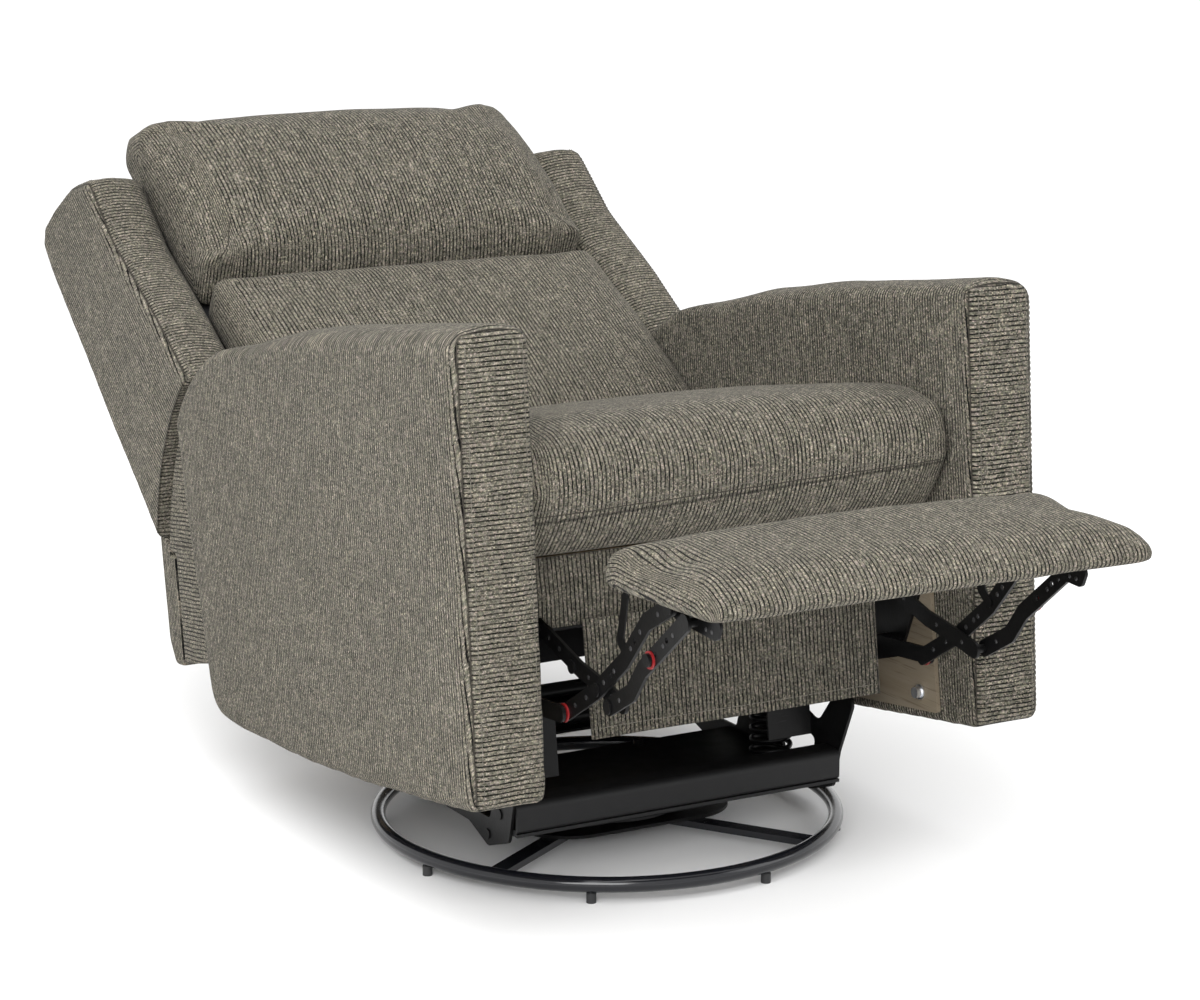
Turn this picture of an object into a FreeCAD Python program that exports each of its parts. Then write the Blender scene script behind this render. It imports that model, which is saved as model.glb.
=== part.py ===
# Swivel rocker recliner, modelled fully reclined with the footrest out.
# Frame: +Z up, the sitter faces -Y, origin on the floor under the swivel axis.
# The upper chair is drawn upright in its own level frame and then leaned back
# about the rocking shaft by "rest_lean".
import FreeCAD, Part
import Sketcher
import math
import os
from FreeCAD import Vector as V, Placement, Rotation

doc = FreeCAD.newDocument("recliner")
dims = doc.addObject("Spreadsheet::Sheet", "dims")
TABLE = [
    # whole chair
    ("overall_width", 770.0), ("arm_width", 93.5), ("rest_lean", 8.02), ("rock_axis_height", 150.0),
    # base ring and swivel
    ("ring_radius", 288.15), ("ring_tube_radius", 9.5), ("ring_height", 22.0),
    ("foot_radius", 6.0), ("foot_height", 12.0), ("foot_stem_radius", 4.0), ("foot_stem_height", 14.5), ("spoke_width", 22.0), ("spoke_thick", 8.0),
    ("swivel_plate_thick", 4.0), ("swivel_plate_length", 290.0), ("swivel_plate_depth", 210.0), ("swivel_plate_corner", 70.0),
    ("ball_radius", 4.0), ("ball_circle_radius", 80.0), ("kingpin_radius", 8.0), ("kingpin_clearance", 0.05),
    # base frame
    ("beam_half_length", 226.0), ("beam_wall", 4.0), ("base_plate_thick", 4.0), ("beam_bottom", 78.0), ("beam_top", 115.0), ("deck_thick", 4.0), ("deck_rear", 76.0), ("bar_width", 40.0), ("bar_length", 180.0),
    ("shaft_radius", 9.0), ("shaft_clearance", 0.05), ("shaft_length", 500.0),
    ("spring_coil_radius", 24.0), ("spring_wire_radius", 3.5), ("spring_pitch", 14.0), ("spring_height", 112.0),
    # mechanism
    ("link_thick", 4.0), ("link_half_width", 10.0), ("rivet_radius", 5.0), ("rivet_hole_radius", 5.05), ("rivet_head_radius", 8.0), ("link_hole_radius", 3.2),
    ("side_plate_thick", 4.0), ("cross_tube_radius", 10.0), ("drive_tube_radius", 8.0),
    # timber
    ("board_thick", 7.0), ("rail_thick", 38.0), ("rail_height", 56.0), ("post_thick", 20.0), ("foot_board_thick", 12.0),
    # upholstery
    ("seat_half_width", 286.0), ("back_half_width", 284.0), ("foot_half_width", 284.0), ("apron_half_width", 197.0), ("apron_thick", 8.0),
    ("hinge_y", 183.0), ("hinge_z", 319.0), ("arm_arc_radius", 320.0), ("wing_arc_radius", 326.0),
]
for i, (name, val) in enumerate(TABLE, 1):
    dims.set("A%d" % i, name)
    dims.set("B%d" % i, repr(val))
    dims.setAlias("B%d" % i, name)
doc.recompute()


def dim(name):
    return float(dims.get(name))


NODES = []
PIV = V(0, 0, dim("rock_axis_height"))


def leaned(local=None):
    """Placement of a piece of the upper chair: its level place, leaned back about the rocking shaft."""
    p = Placement(PIV, Rotation(V(1, 0, 0), -dim("rest_lean"))).multiply(Placement(V(0, 0, 0) - PIV, Rotation()))
    return p.multiply(local) if local else p


def at(x=0, y=0, z=0, axis=None, deg=0):
    return Placement(V(x, y, z), Rotation(axis, deg) if axis else Rotation())


def keep(obj, label):
    obj.Label = label
    NODES.append(obj)
    return obj


def outline(points):
    """Closed outline of (u, v) or (u, v, corner radius) points as lines and tangent arcs."""
    n = len(points)
    cut = []
    for i in range(n):
        p = V(points[i][0], points[i][1], 0)
        r = points[i][2] if len(points[i]) > 2 else 0
        a = V(points[i - 1][0], points[i - 1][1], 0)
        b = V(points[(i + 1) % n][0], points[(i + 1) % n][1], 0)
        if r <= 0:
            cut.append((p, None, p))
            continue
        ua = (a - p).normalize()
        ub = (b - p).normalize()
        half = ua.getAngle(ub) / 2
        t = min(r / math.tan(half), 0.49 * (a - p).Length, 0.49 * (b - p).Length)
        r = t * math.tan(half)
        bis = (ua + ub).normalize()
        mid = p + bis * (r / math.sin(half) - r)
        cut.append((p + ua * t, mid, p + ub * t))
    geo = []
    for i in range(n):
        s, m, e = cut[i]
        if m is not None:
            geo.append(Part.Arc(s, m, e))
        nxt = cut[(i + 1) % n][0]
        if (nxt - e).Length > 1e-6:
            geo.append(Part.LineSegment(e, nxt))
    return geo


def draw(sk, geo, holes=()):
    """Put an outline and its round holes in a sketch; hole radii follow the sheet."""
    for g in geo:
        sk.addConstraint(Sketcher.Constraint("Block", sk.addGeometry(g, False)))
    for (u, v, alias) in holes:
        g = sk.addGeometry(Part.Circle(V(u, v, 0), V(0, 0, 1), dim(alias)), False)
        c = sk.addConstraint(Sketcher.Constraint("Radius", g, dim(alias)))
        sk.setExpression("Constraints[%d]" % c, "dims.%s" % alias)


def padded(label, plane, geo, length, place, holes=(), cuts=(), node=True):
    """A body padded from an outline on one of its own planes. length is an expression on the sheet.
    node says whether it is a sub-part of its own or one of a pair."""
    body = doc.addObject("PartDesign::Body", label + "_body")
    sk = body.newObject("Sketcher::SketchObject", label + "_sketch")
    ref = [f for f in body.Origin.OriginFeatures if f.Role == plane][0]
    sk.AttachmentSupport = [(ref, "")]
    sk.MapMode = "FlatFace"
    draw(sk, geo, holes)
    for c in cuts:
        draw(sk, c)
    pad = body.newObject("PartDesign::Pad", label + "_pad")
    pad.Profile = sk
    pad.setExpression("Length", length)
    body.Placement = place
    return keep(body, label) if node else body


def side_piece(label, points, x0, length, holes=(), cuts=(), lean=True, node=True):
    """A piece with its outline seen from the side (y, z), from x0 towards +X."""
    pl = at(x=x0)
    geo = outline(points) if isinstance(points[0], tuple) else points
    return padded(label, "YZ_Plane", geo, length, leaned(pl) if lean else pl, holes, cuts, node)


def cylinder(name, radius, height, place):
    c = doc.addObject("Part::Cylinder", name)
    c.setExpression("Radius", radius)
    c.setExpression("Height", height)
    c.Placement = place
    return c


def box(name, lx, ly, lz, place):
    b = doc.addObject("Part::Box", name)
    b.setExpression("Length", lx)
    b.setExpression("Width", ly)
    b.setExpression("Height", lz)
    b.Placement = place
    return b


def group(label, objs):
    c = doc.addObject("Part::Compound", label + "_set")
    c.Links = objs
    return keep(c, label)


def fuse(label, objs):
    f = doc.addObject("Part::MultiFuse", label + "_fuse")
    f.Shapes = objs
    return keep(f, label)


def arc_about(cy, cz, r, f0, f1):
    """Arc about (cy, cz); angles from straight up towards +Y."""
    def p(f):
        a = math.radians(f)
        return V(cy + r * math.sin(a), cz + r * math.cos(a), 0)
    return Part.Arc(p(f0), p((f0 + f1) / 2), p(f1)), p(f0), p(f1)


X90 = V(0, 1, 0)
HY, HZ = dim("hinge_y"), dim("hinge_z")
W2 = dim("overall_width") / 2
ARM_IN = W2 - dim("arm_width")
SIDES = (("left", -1), ("right", 1))

# ---------------------------------------------------------------- base ring
ring = doc.addObject("Part::Torus", "base_ring_torus")
ring.setExpression("Radius1", "dims.ring_radius")
ring.setExpression("Radius2", "dims.ring_tube_radius")
ring.Placement = at(z=dim("ring_height"))
keep(ring, "base_ring")

spokes = []
for k in range(4):
    a = -147 + 90 * k
    b = box("spoke_%d" % k, "dims.ring_radius - 44", "dims.spoke_width", "dims.spoke_thick",
            Placement(V(0, 0, 19), Rotation(V(0, 0, 1), a)).multiply(at(x=44, y=-dim("spoke_width") / 2)))
    spokes.append(b)
group("base_spokes", spokes)

feet = []
for k in range(8):
    a = math.radians(-168 + 45 * k)
    spot = at(dim("ring_radius") * math.cos(a), dim("ring_radius") * math.sin(a), 0)
    foot = doc.addObject("Part::MultiFuse", "foot_%d" % k)
    foot.Shapes = [cylinder("foot_pad_%d" % k, "dims.foot_radius", "dims.foot_height", spot),
                   cylinder("foot_stem_%d" % k, "dims.foot_stem_radius", "dims.foot_stem_height", spot)]
    feet.append(foot)
group("ring_foot_glides", feet)


def swivel_plate(label, z, scale):
    lx, ly, r = dim("swivel_plate_length") / 2 * scale, dim("swivel_plate_depth") / 2 * scale, dim("swivel_plate_corner")
    geo = outline([(-lx, -ly, r), (lx, -ly, r), (lx, ly, r), (-lx, ly, r)])
    body = doc.addObject("PartDesign::Body", label + "_body")
    sk = body.newObject("Sketcher::SketchObject", label + "_sketch")
    ref = [f for f in body.Origin.OriginFeatures if f.Role == "XY_Plane"][0]
    sk.AttachmentSupport = [(ref, "")]
    sk.MapMode = "FlatFace"
    draw(sk, geo)
    g = sk.addGeometry(Part.Circle(V(0, 0, 0), V(0, 0, 1), dim("kingpin_radius")), False)
    c = sk.addConstraint(Sketcher.Constraint("Radius", g, dim("kingpin_radius")))
    sk.setExpression("Constraints[%d]" % c, "dims.kingpin_radius + dims.kingpin_clearance")
    pad = body.newObject("PartDesign::Pad", label + "_pad")
    pad.Profile = sk
    pad.setExpression("Length", "dims.swivel_plate_thick")
    body.Placement = at(z=z)
    return keep(body, label)


swivel_plate("swivel_lower_plate", 27.0, 1.0)
balls = []
for k in range(12):
    a = math.radians(30 * k)
    s = doc.addObject("Part::Sphere", "ball_%d" % k)
    s.setExpression("Radius", "dims.ball_radius")
    s.Placement = at(dim("ball_circle_radius") * math.cos(a), dim("ball_circle_radius") * math.sin(a), 35.1)
    balls.append(s)
group("swivel_balls", balls)
cage = doc.addObject("PartDesign::Body", "swivel_ball_cage_body")
sk = cage.newObject("Sketcher::SketchObject", "cage_sketch")
sk.AttachmentSupport = [([f for f in cage.Origin.OriginFeatures if f.Role == "XY_Plane"][0], "")]
sk.MapMode = "FlatFace"
for rad, off in (("dims.ball_circle_radius + 12", 12), ("dims.ball_circle_radius - 12", -12)):
    g = sk.addGeometry(Part.Circle(V(0, 0, 0), V(0, 0, 1), dim("ball_circle_radius") + off), False)
    c = sk.addConstraint(Sketcher.Constraint("Radius", g, dim("ball_circle_radius") + off))
    sk.setExpression("Constraints[%d]" % c, rad)
for k in range(12):
    a = math.radians(30 * k)
    g = sk.addGeometry(Part.Circle(V(80 * math.cos(a), 80 * math.sin(a), 0), V(0, 0, 1), 4.3), False)
    c = sk.addConstraint(Sketcher.Constraint("Radius", g, 4.3))
    sk.setExpression("Constraints[%d]" % c, "dims.ball_radius + 0.3")
pad = cage.newObject("PartDesign::Pad", "cage_pad")
pad.Profile = sk
pad.Length = 3.0
cage.Placement = at(z=33.6)
keep(cage, "swivel_ball_cage")

pin_s = cylinder("kingpin_shank", "dims.kingpin_radius", "35", at(z=19))
pin_h = cylinder("kingpin_head", "dims.kingpin_radius * 1.8", "8", at(z=18.9))
fuse("swivel_kingpin", [pin_s, pin_h])
nut = padded("swivel_nut", "XY_Plane", outline([(15 * math.cos(math.radians(60 * k)), 15 * math.sin(math.radians(60 * k))) for k in range(6)]),
             "9", at(z=43.9), holes=((0, 0, "kingpin_radius"),))

# ---------------------------------------------------------------- base frame on the swivel
swivel_plate("swivel_upper_plate", 39.4, 0.94)
DECK_Z = dim("beam_bottom") - dim("deck_thick")
deck = [box("bar_%d" % k, "dims.bar_width", "dims.bar_length", "dims.beam_bottom - dims.deck_thick - 43.4",
            at(x - dim("bar_width") / 2, -dim("bar_length") / 2, 43.4)) for k, x in enumerate((-90, 90))]
deck.append(box("deck_plate", "2 * dims.beam_half_length", "187 + dims.deck_rear", "dims.deck_thick", at(-dim("beam_half_length"), -187, DECK_Z)))
deck.append(padded("deck_pad", "XY_Plane", outline([(-150, -108, 72), (150, -108, 72), (150, 108, 72), (-150, 108, 72)]), "6", at(z=56), node=False))
fuse("base_deck", deck)


def beam(label, sgn):
    w = dim("beam_wall")
    lo, hi = dim("beam_bottom"), dim("beam_top")
    pts = [(-187, lo, 5), (-187, hi, 9), (-150, hi, 5), (-150, hi - w), (-187 + w, hi - w, 5), (-187 + w, lo + w, 2), (-150, lo + w), (-150, lo, 2)]
    pts = [(sgn * p[0],) + p[1:] for p in pts]
    return side_piece(label, pts, -dim("beam_half_length"), "2 * dims.beam_half_length", lean=False)


beam("front_beam", 1)
beam("rear_beam", -1)

PLATE = [(-214, 180, 10), (-200, 192, 10), (-176, 188, 10), (-136, 138, 20), (-30, 176, 20), (0, 182, 30), (30, 176, 20), (136, 132, 20), (182, 112, 10),
         (176, 64, 10), (119, 46, 14), (70, 64, 20), (-70, 64, 20), (-119, 46, 14), (-172, 64, 10), (-184, 112, 20)]
CUT_F = [(-126, 82, 8), (-130, 116, 8), (-36, 146, 8), (-58, 82, 8)]
CUT_R = [(-p[0], p[1], p[2]) for p in CUT_F]
pair = []
for side, s in SIDES:
    x0 = s * dim("beam_half_length") - (dim("base_plate_thick") if s < 0 else 0)
    body = doc.addObject("PartDesign::Body", "base_plate_%s_body" % side)
    sk = body.newObject("Sketcher::SketchObject", "base_plate_%s_sketch" % side)
    sk.AttachmentSupport = [([f for f in body.Origin.OriginFeatures if f.Role == "YZ_Plane"][0], "")]
    sk.MapMode = "FlatFace"
    draw(sk, outline(PLATE))
    draw(sk, outline(CUT_F))
    draw(sk, outline(CUT_R))
    g = sk.addGeometry(Part.Circle(V(0, dim("rock_axis_height"), 0), V(0, 0, 1), dim("shaft_radius")), False)
    c = sk.addConstraint(Sketcher.Constraint("Radius", g, dim("shaft_radius")))
    sk.setExpression("Constraints[%d]" % c, "dims.shaft_radius + dims.shaft_clearance")
    pad = body.newObject("PartDesign::Pad", "base_plate_%s_pad" % side)
    pad.Profile = sk
    pad.setExpression("Length", "dims.base_plate_thick")
    body.Placement = at(x=x0)
    pair.append(body)
group("base_side_plates", pair)

bolts = []
for side, s in SIDES:
    for (y, z) in ((-150, 116), (-150, 94), (-119, 61), (-195, 176), (150, 96), (119, 61)):
        x = s * (dim("beam_half_length") + dim("base_plate_thick"))
        bolts.append(cylinder("base_bolt_%s_%d_%d" % (side, y + 300, z), "6.5", "1.8", at(x, y, z, X90, 90 * s)))
    bolts.append(cylinder("deck_bolt_" + side, "6.5", "7", at(s * 81.0, 63.0, dim("beam_bottom"))))
group("base_plate_bolts", bolts)

SPRING_X, SPRING_Y, SPRING_Z0 = 178.0, -103.0, dim("beam_bottom") + 0.2
pair = []
for side, s in SIDES:
    hx = doc.addObject("Part::Helix", "spring_path_" + side)
    hx.setExpression("Pitch", "dims.spring_pitch")
    hx.setExpression("Height", "dims.spring_height")
    hx.setExpression("Radius", "dims.spring_coil_radius")
    prof = doc.addObject("Part::Circle", "spring_wire_" + side)
    prof.setExpression("Radius", "dims.spring_wire_radius")
    prof.Placement = at(dim("spring_coil_radius"), 0, 0, V(1, 0, 0), 90)
    doc.recompute()
    sw = doc.addObject("Part::Sweep", "spring_sweep_" + side)
    sw.Sections = [prof]
    sw.Spine = (hx, ["Edge1"])
    sw.Solid = True
    sw.Frenet = True
    sw.Placement = at(s * SPRING_X, SPRING_Y, SPRING_Z0 + dim("spring_wire_radius"))
    pair.append(sw)
group("rock_springs", pair)

# ---------------------------------------------------------------- chassis: rocking shaft, brackets, tubes, side plates
sh = cylinder("rock_shaft_bar", "dims.shaft_radius", "dims.shaft_length", at(-dim("shaft_length") / 2, 0, dim("rock_axis_height"), X90, 90))
keep(sh, "rock_shaft")
TUBES = ((-110.0, 205.0), (200.0, 205.0))
BRACKET = [(-132, 222, 8), (-128, 190, 8), (-16, 132, 10), (16, 132, 10), (190, 186, 10), (222, 190, 8), (220, 222, 8)]
pair = []
for side, s in SIDES:
    pair.append(side_piece("rock_bracket_" + side, BRACKET, 236.0 if s > 0 else -242.0, "6", node=False,
                           holes=((0, 150, "shaft_radius"), (TUBES[0][0], TUBES[0][1], "cross_tube_radius"), (TUBES[1][0], TUBES[1][1], "cross_tube_radius"))))
group("rock_brackets", pair)
group("cross_tubes", [cylinder("cross_tube_%d" % k, "dims.cross_tube_radius", "560", leaned(at(-280, y, z, X90, 90))) for k, (y, z) in enumerate(TUBES)])
fuse("spring_plate", [box("spring_plate_top", "420", "64", "7.9", leaned(at(-210, -142, 187))),
                      box("spring_tab_left", "62", "4", "84", leaned(at(-210, -142, 108))),
                      box("spring_tab_right", "62", "4", "84", leaned(at(148, -142, 108)))])

PK, PM = (-285.0, 312.0), (-220.3, 228.5)
X1, NB, QM = (-430.0, 255.0), (-468.8, 241.3), (-351.0, 221.0)
TA, TB = (-602.0, 361.0), (-643.5, 348.0)
SIDE = [(-298.5, 330, 8), (-298.5, 297, 10), (-244, 206, 14), (-128, 186, 20), (220, 182, 14), (232, 214, 12), (214, 344, 14), (150, 348, 14), (96, 300, 30), (-170, 296, 30), (-262, 333, 10)]
group("mechanism_plates", [side_piece("mechanism_plate_" + side, SIDE, 280.0 if s > 0 else -284.0, "dims.side_plate_thick", node=False) for side, s in SIDES])
studs = []
for side, s in SIDES:
    for nm, (y, z), inner, head in (("k", PK, 232.3, (236.6, 239.2)), ("m", PM, 247.2, (244.9, 247.2)), ("h", (HY, HZ), 266.2, (263.8, 266.2))):
        studs.append((nm + side, s, y, z, inner, head))


def stud(name, s, y, z, x_root, x_tip, head):
    """Rivet shank from x_root to x_tip with a head or collar over the span head; x is the distance from the middle."""
    body = doc.addObject("Part::Cylinder", name + "_shank")
    body.setExpression("Radius", "dims.rivet_radius")
    body.Height = abs(x_root - x_tip)
    body.Placement = leaned(at(s * min(x_root, x_tip), y, z, X90, 90 * s))
    hd = doc.addObject("Part::Cylinder", name + "_head")
    hd.setExpression("Radius", "dims.rivet_head_radius")
    hd.Height = head[1] - head[0]
    hd.Placement = leaned(at(s * head[0], y, z, X90, 90 * s))
    f = doc.addObject("Part::Fuse", name)
    f.Base, f.Tool = body, hd
    return f


group("chassis_pivot_studs", [stud("chassis_stud_" + n, s, y, z, 280.0, a, b) for (n, s, y, z, a, b) in studs])

# ---------------------------------------------------------------- timber: arm boards, seat frame, rear rail
group("arm_inner_boards", [side_piece("arm_inner_board_" + side, [(-312, 142, 4), (-312, 300, 4), (250, 300, 4), (250, 160, 4), (60, 146, 4)],
                                      284.3 if s > 0 else -284.3 - dim("board_thick"), "dims.board_thick", node=False) for side, s in SIDES])
heads = []
for side, s in SIDES:
    for (y, z) in ((-279, 165), (-20, 165), (232, 178)):
        head = doc.addObject("Part::MultiFuse", "arm_bolt_%s_%d" % (side, y + 300))
        head.Shapes = [cylinder("arm_bolt_flange_%s_%d" % (side, y + 300), "9.5", "2", leaned(at(s * 284.3, y, z, X90, -90 * s))),
                       cylinder("arm_bolt_head_%s_%d" % (side, y + 300), "7", "9", leaned(at(s * 284.3, y, z, X90, -90 * s)))]
        heads.append(head)
group("arm_bolts", heads)
fr = box("seat_front_rail_box", "540", "dims.rail_thick", "dims.rail_height", leaned(at(-270, -298, 336)))
keep(fr, "seat_front_rail")
rr = box("seat_rear_rail_box", "492", "30", "dims.rail_height", leaned(at(-246, 20, 336)))
keep(rr, "seat_rear_rail")
group("seat_side_rails", [box("seat_side_rail_%s_box" % side, "30", "277.6", "dims.rail_height", leaned(at(s * 255.0 - 15, -258.8, 336))) for side, s in SIDES])
wr = box("rear_rail_box", "580", "46", "36", leaned(at(-290, 338, 214)))
keep(wr, "rear_rail")


def zigzag(n, pitch, amp, half):
    """Flat outline of a zigzag wire spring along u, centred on v."""
    top, bot = [], []
    for k in range(n + 1):
        v = amp if k % 2 else -amp
        top.append((k * pitch, v + half))
        bot.append((k * pitch, v - half))
    return top + bot[::-1]


springs = []
for k in range(5):
    body = doc.addObject("PartDesign::Body", "seat_spring_%d" % k)
    sk = body.newObject("Sketcher::SketchObject", "seat_spring_sketch_%d" % k)
    sk.AttachmentSupport = [([f for f in body.Origin.OriginFeatures if f.Role == "XY_Plane"][0], "")]
    sk.MapMode = "FlatFace"
    draw(sk, outline(zigzag(14, 23.6, 18, 5)))
    p = body.newObject("PartDesign::Pad", "seat_spring_pad_%d" % k)
    p.Profile = sk
    p.Length = 3.4
    body.Placement = leaned(at(-180 + 90 * k, -290, 392.1, V(0, 0, 1), 90))
    springs.append(body)
group("seat_springs", springs)

# ---------------------------------------------------------------- upholstery of the fixed part
R_ARM = dim("arm_arc_radius")
arc, a0, a1 = arc_about(HY, HZ, R_ARM, 46, 2)
for side, s in SIDES:
    lower = [(-390, 130), (-60, 128), (82, 134), (268, 148)]
    geo = []
    chain = [a1, V(60, 656, 0), V(-110, 664, 0), V(-402, 666, 0)]
    for p, q in zip(chain, chain[1:]):
        geo.append(Part.LineSegment(p, q))
    c0, c1 = V(-402, 666, 0), V(-423, 645, 0)
    geo.append(Part.Arc(c0, V(-417, 660, 0), c1))
    geo.append(Part.LineSegment(c1, V(-391.5, 148, 0)))
    geo.append(Part.Arc(V(-391.5, 148, 0), V(-386.5, 134, 0), V(-374, 130, 0)))
    chain = [V(-374, 130, 0), V(-60, 128, 0), V(82, 134, 0), V(268, 148, 0), V(322, 156, 0)]
    for p, q in zip(chain, chain[1:]):
        geo.append(Part.LineSegment(p, q))
    geo.append(Part.Arc(V(322, 156, 0), V(356, 174, 0), V(367, 212, 0)))
    geo.append(Part.LineSegment(V(367, 212, 0), a0))
    geo.append(arc)
    side_piece("arm_" + side, geo, s * ARM_IN - (dim("arm_width") if s < 0 else 0), "dims.arm_width")

seat = [(-300, 396, 20), (-362, 440, 20), (-382, 470, 30), (-372, 530, 45), (-290, 551, 60), (0, 540, 60), (46, 520, 30), (46, 396, 20)]
side_piece("seat_cushion", seat, -dim("seat_half_width"), "2 * dims.seat_half_width")
side_piece("seat_front_band", [(-314, 330, 3), (-314, 393, 3), (-300.5, 393, 3), (-300.5, 330, 3)], -dim("seat_half_width") + 2, "2 * dims.seat_half_width - 4")
side_piece("front_apron", [(-325, 180, 3), (-325, 318, 3), (-317, 318, 3), (-317, 180, 3)], -dim("apron_half_width"), "2 * dims.apron_half_width")
side_piece("rear_panel", [(479, 356, 4), (499.5, 356), (499.5, 370, 3), (529, 370, 10), (529, 240, 40), (512, 208, 14), (479, 208, 6)], -372.0, "744")
arc2, b0, b1 = arc_about(HY, HZ, R_ARM - 1.5, 46.4, 82)
RSP = [arc2, Part.LineSegment(b1, V(477, 357, 0)), Part.LineSegment(V(477, 357, 0), V(477, 212, 0)), Part.LineSegment(V(477, 212, 0), V(374, 222, 0)), Part.LineSegment(V(374, 222, 0), b0)]
group("rear_side_panels", [side_piece("rear_side_panel_" + side, RSP, 322.0 if s > 0 else -372.0, "50", node=False) for side, s in SIDES])

# ---------------------------------------------------------------- backrest
arc3, w0, w1 = arc_about(HY, HZ, dim("wing_arc_radius"), 32.5, 80)
WING = outline([(w1.x, w1.y), (838, 736, 30), (864, 776, 22), (848, 806, 20), (800, 830, 40), (741, 853, 60), (668, 862, 16), (590, 776), (464, 683), (w0.x, w0.y)])
WING = WING[:-1] + [arc3] if (WING[-1].StartPoint - V(w0.x, w0.y, 0)).Length < 1e-6 else WING
for side, s in SIDES:
    side_piece("wing_" + side, WING, 291.5 if s > 0 else -W2, "dims.arm_width")


def ph(r, f):
    a = math.radians(f)
    return (HY + r * math.sin(a), HZ + r * math.cos(a))


OUT = [ph(326, 80), ph(255.5, 80), (431, 380, 3), (488, 392, 6), (812, 741, 20), (832, 768, 10), (852, 752, 14), (838, 736, 20)]
side_piece("back_outer_panel", OUT, -290.5, "581")
la, la0, la1 = arc_about(HY, HZ, 290, 80.2, 110)
lb, lb0, lb1 = arc_about(HY, HZ, 256, 110, 80.2)
side_piece("back_lower_panel", [la, Part.LineSegment(la1, lb0), lb, Part.LineSegment(lb1, la0)], -286.0, "572")
d = V(0.760, 0.6495, 0)
n = V(-0.6495, 0.760, 0)
P0, P1 = V(285, 395, 0), V(765, 805, 0)
post = [P0 + n * 14, P1 + n * 14, P1 - n * 28, P0 - n * 28]
group("back_posts", [side_piece("back_post_" + side, [(p.x, p.y, 4) for p in post], 246.0 if s > 0 else -266.0, "dims.post_thick", node=False) for side, s in SIDES])
rails = []
for k, (t0, t1) in enumerate(((18, 68), (300, 340), (560, 620))):
    pts = [P0 + d * t0 + n * 10, P0 + d * t1 + n * 10, P0 + d * t1 - n * 24, P0 + d * t0 - n * 24]
    body = doc.addObject("PartDesign::Body", "back_rail_%d" % k)
    sk = body.newObject("Sketcher::SketchObject", "back_rail_sketch_%d" % k)
    sk.AttachmentSupport = [([f for f in body.Origin.OriginFeatures if f.Role == "YZ_Plane"][0], "")]
    sk.MapMode = "FlatFace"
    draw(sk, outline([(p.x, p.y) for p in pts]))
    p = body.newObject("PartDesign::Pad", "back_rail_pad_%d" % k)
    p.Profile = sk
    p.Length = 492.0
    body.Placement = leaned(at(x=-246))
    rails.append(body)
group("back_rails", rails)
HB = [(160, 322, 14), (168, 344, 14), (268, 424, 10), (352, 494, 8), (384, 458, 8), (300, 382, 20), (214, 302, 14), (176, 296, 14)]
group("back_hinge_brackets", [side_piece("back_hinge_bracket_" + side, HB, 267.0 if s > 0 else -271.0, "dims.link_thick",
                                         holes=((HY, HZ, "rivet_hole_radius"),), node=False) for side, s in SIDES])
springs = []
ang = math.degrees(math.atan2(0.6495, 0.760))
base = P0 + d * 60 + n * 10.2
for k in range(4):
    body = doc.addObject("PartDesign::Body", "back_spring_%d" % k)
    sk = body.newObject("Sketcher::SketchObject", "back_spring_sketch_%d" % k)
    sk.AttachmentSupport = [([f for f in body.Origin.OriginFeatures if f.Role == "XY_Plane"][0], "")]
    sk.MapMode = "FlatFace"
    draw(sk, outline(zigzag(20, 25.4, 17, 5)))
    p = body.newObject("PartDesign::Pad", "back_spring_pad_%d" % k)
    p.Profile = sk
    p.Length = 3.0
    body.Placement = leaned(Placement(V(-150 + 100 * k, base.x, base.y), Rotation(V(1, 0, 0), ang)).multiply(Placement(V(0, 0, 0), Rotation(V(0, 0, 1), 90))))
    springs.append(body)
group("back_springs", springs)

LUMBAR = [(478, 732, 12), (350, 644), (250, 570), (203, 529), (166, 497, 16), (214, 430, 16), (533, 659, 10)]
side_piece("lumbar_cushion", LUMBAR, -dim("back_half_width"), "2 * dims.back_half_width")
HEAD = [(492, 729, 8), (472, 748, 14), (540, 829), (594, 874), (651, 908), (702, 934, 30), (762, 915, 30), (792, 872, 16), (595, 702, 10), (534, 662, 8)]
side_piece("headrest_cushion", HEAD, -dim("back_half_width"), "2 * dims.back_half_width")

# ---------------------------------------------------------------- footrest linkage
def strip(points, half):
    """Outline of a flat bar of constant width along a bent line, with clipped round ends."""
    pts = [V(p[0], p[1], 0) for p in points]
    left, right = [], []
    for i, p in enumerate(pts):
        a = (p - pts[i - 1]).normalize() if i else (pts[1] - p).normalize()
        b = (pts[i + 1] - p).normalize() if i < len(pts) - 1 else a
        t = (a + b).normalize()
        nn = V(-t.y, t.x, 0)
        k = half / max(0.5, math.cos(a.getAngle(b) / 2))
        if i == 0:
            p = p - a * half
        if i == len(pts) - 1:
            p = p + a * half
        left.append(p + nn * k)
        right.append(p - nn * k)
    out = left + right[::-1]
    rr = []
    for i, p in enumerate(out):
        end = i in (0, len(left) - 1, len(left), len(out) - 1)
        rr.append((p.x, p.y, half * 0.9 if end else 10))
    return rr


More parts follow.
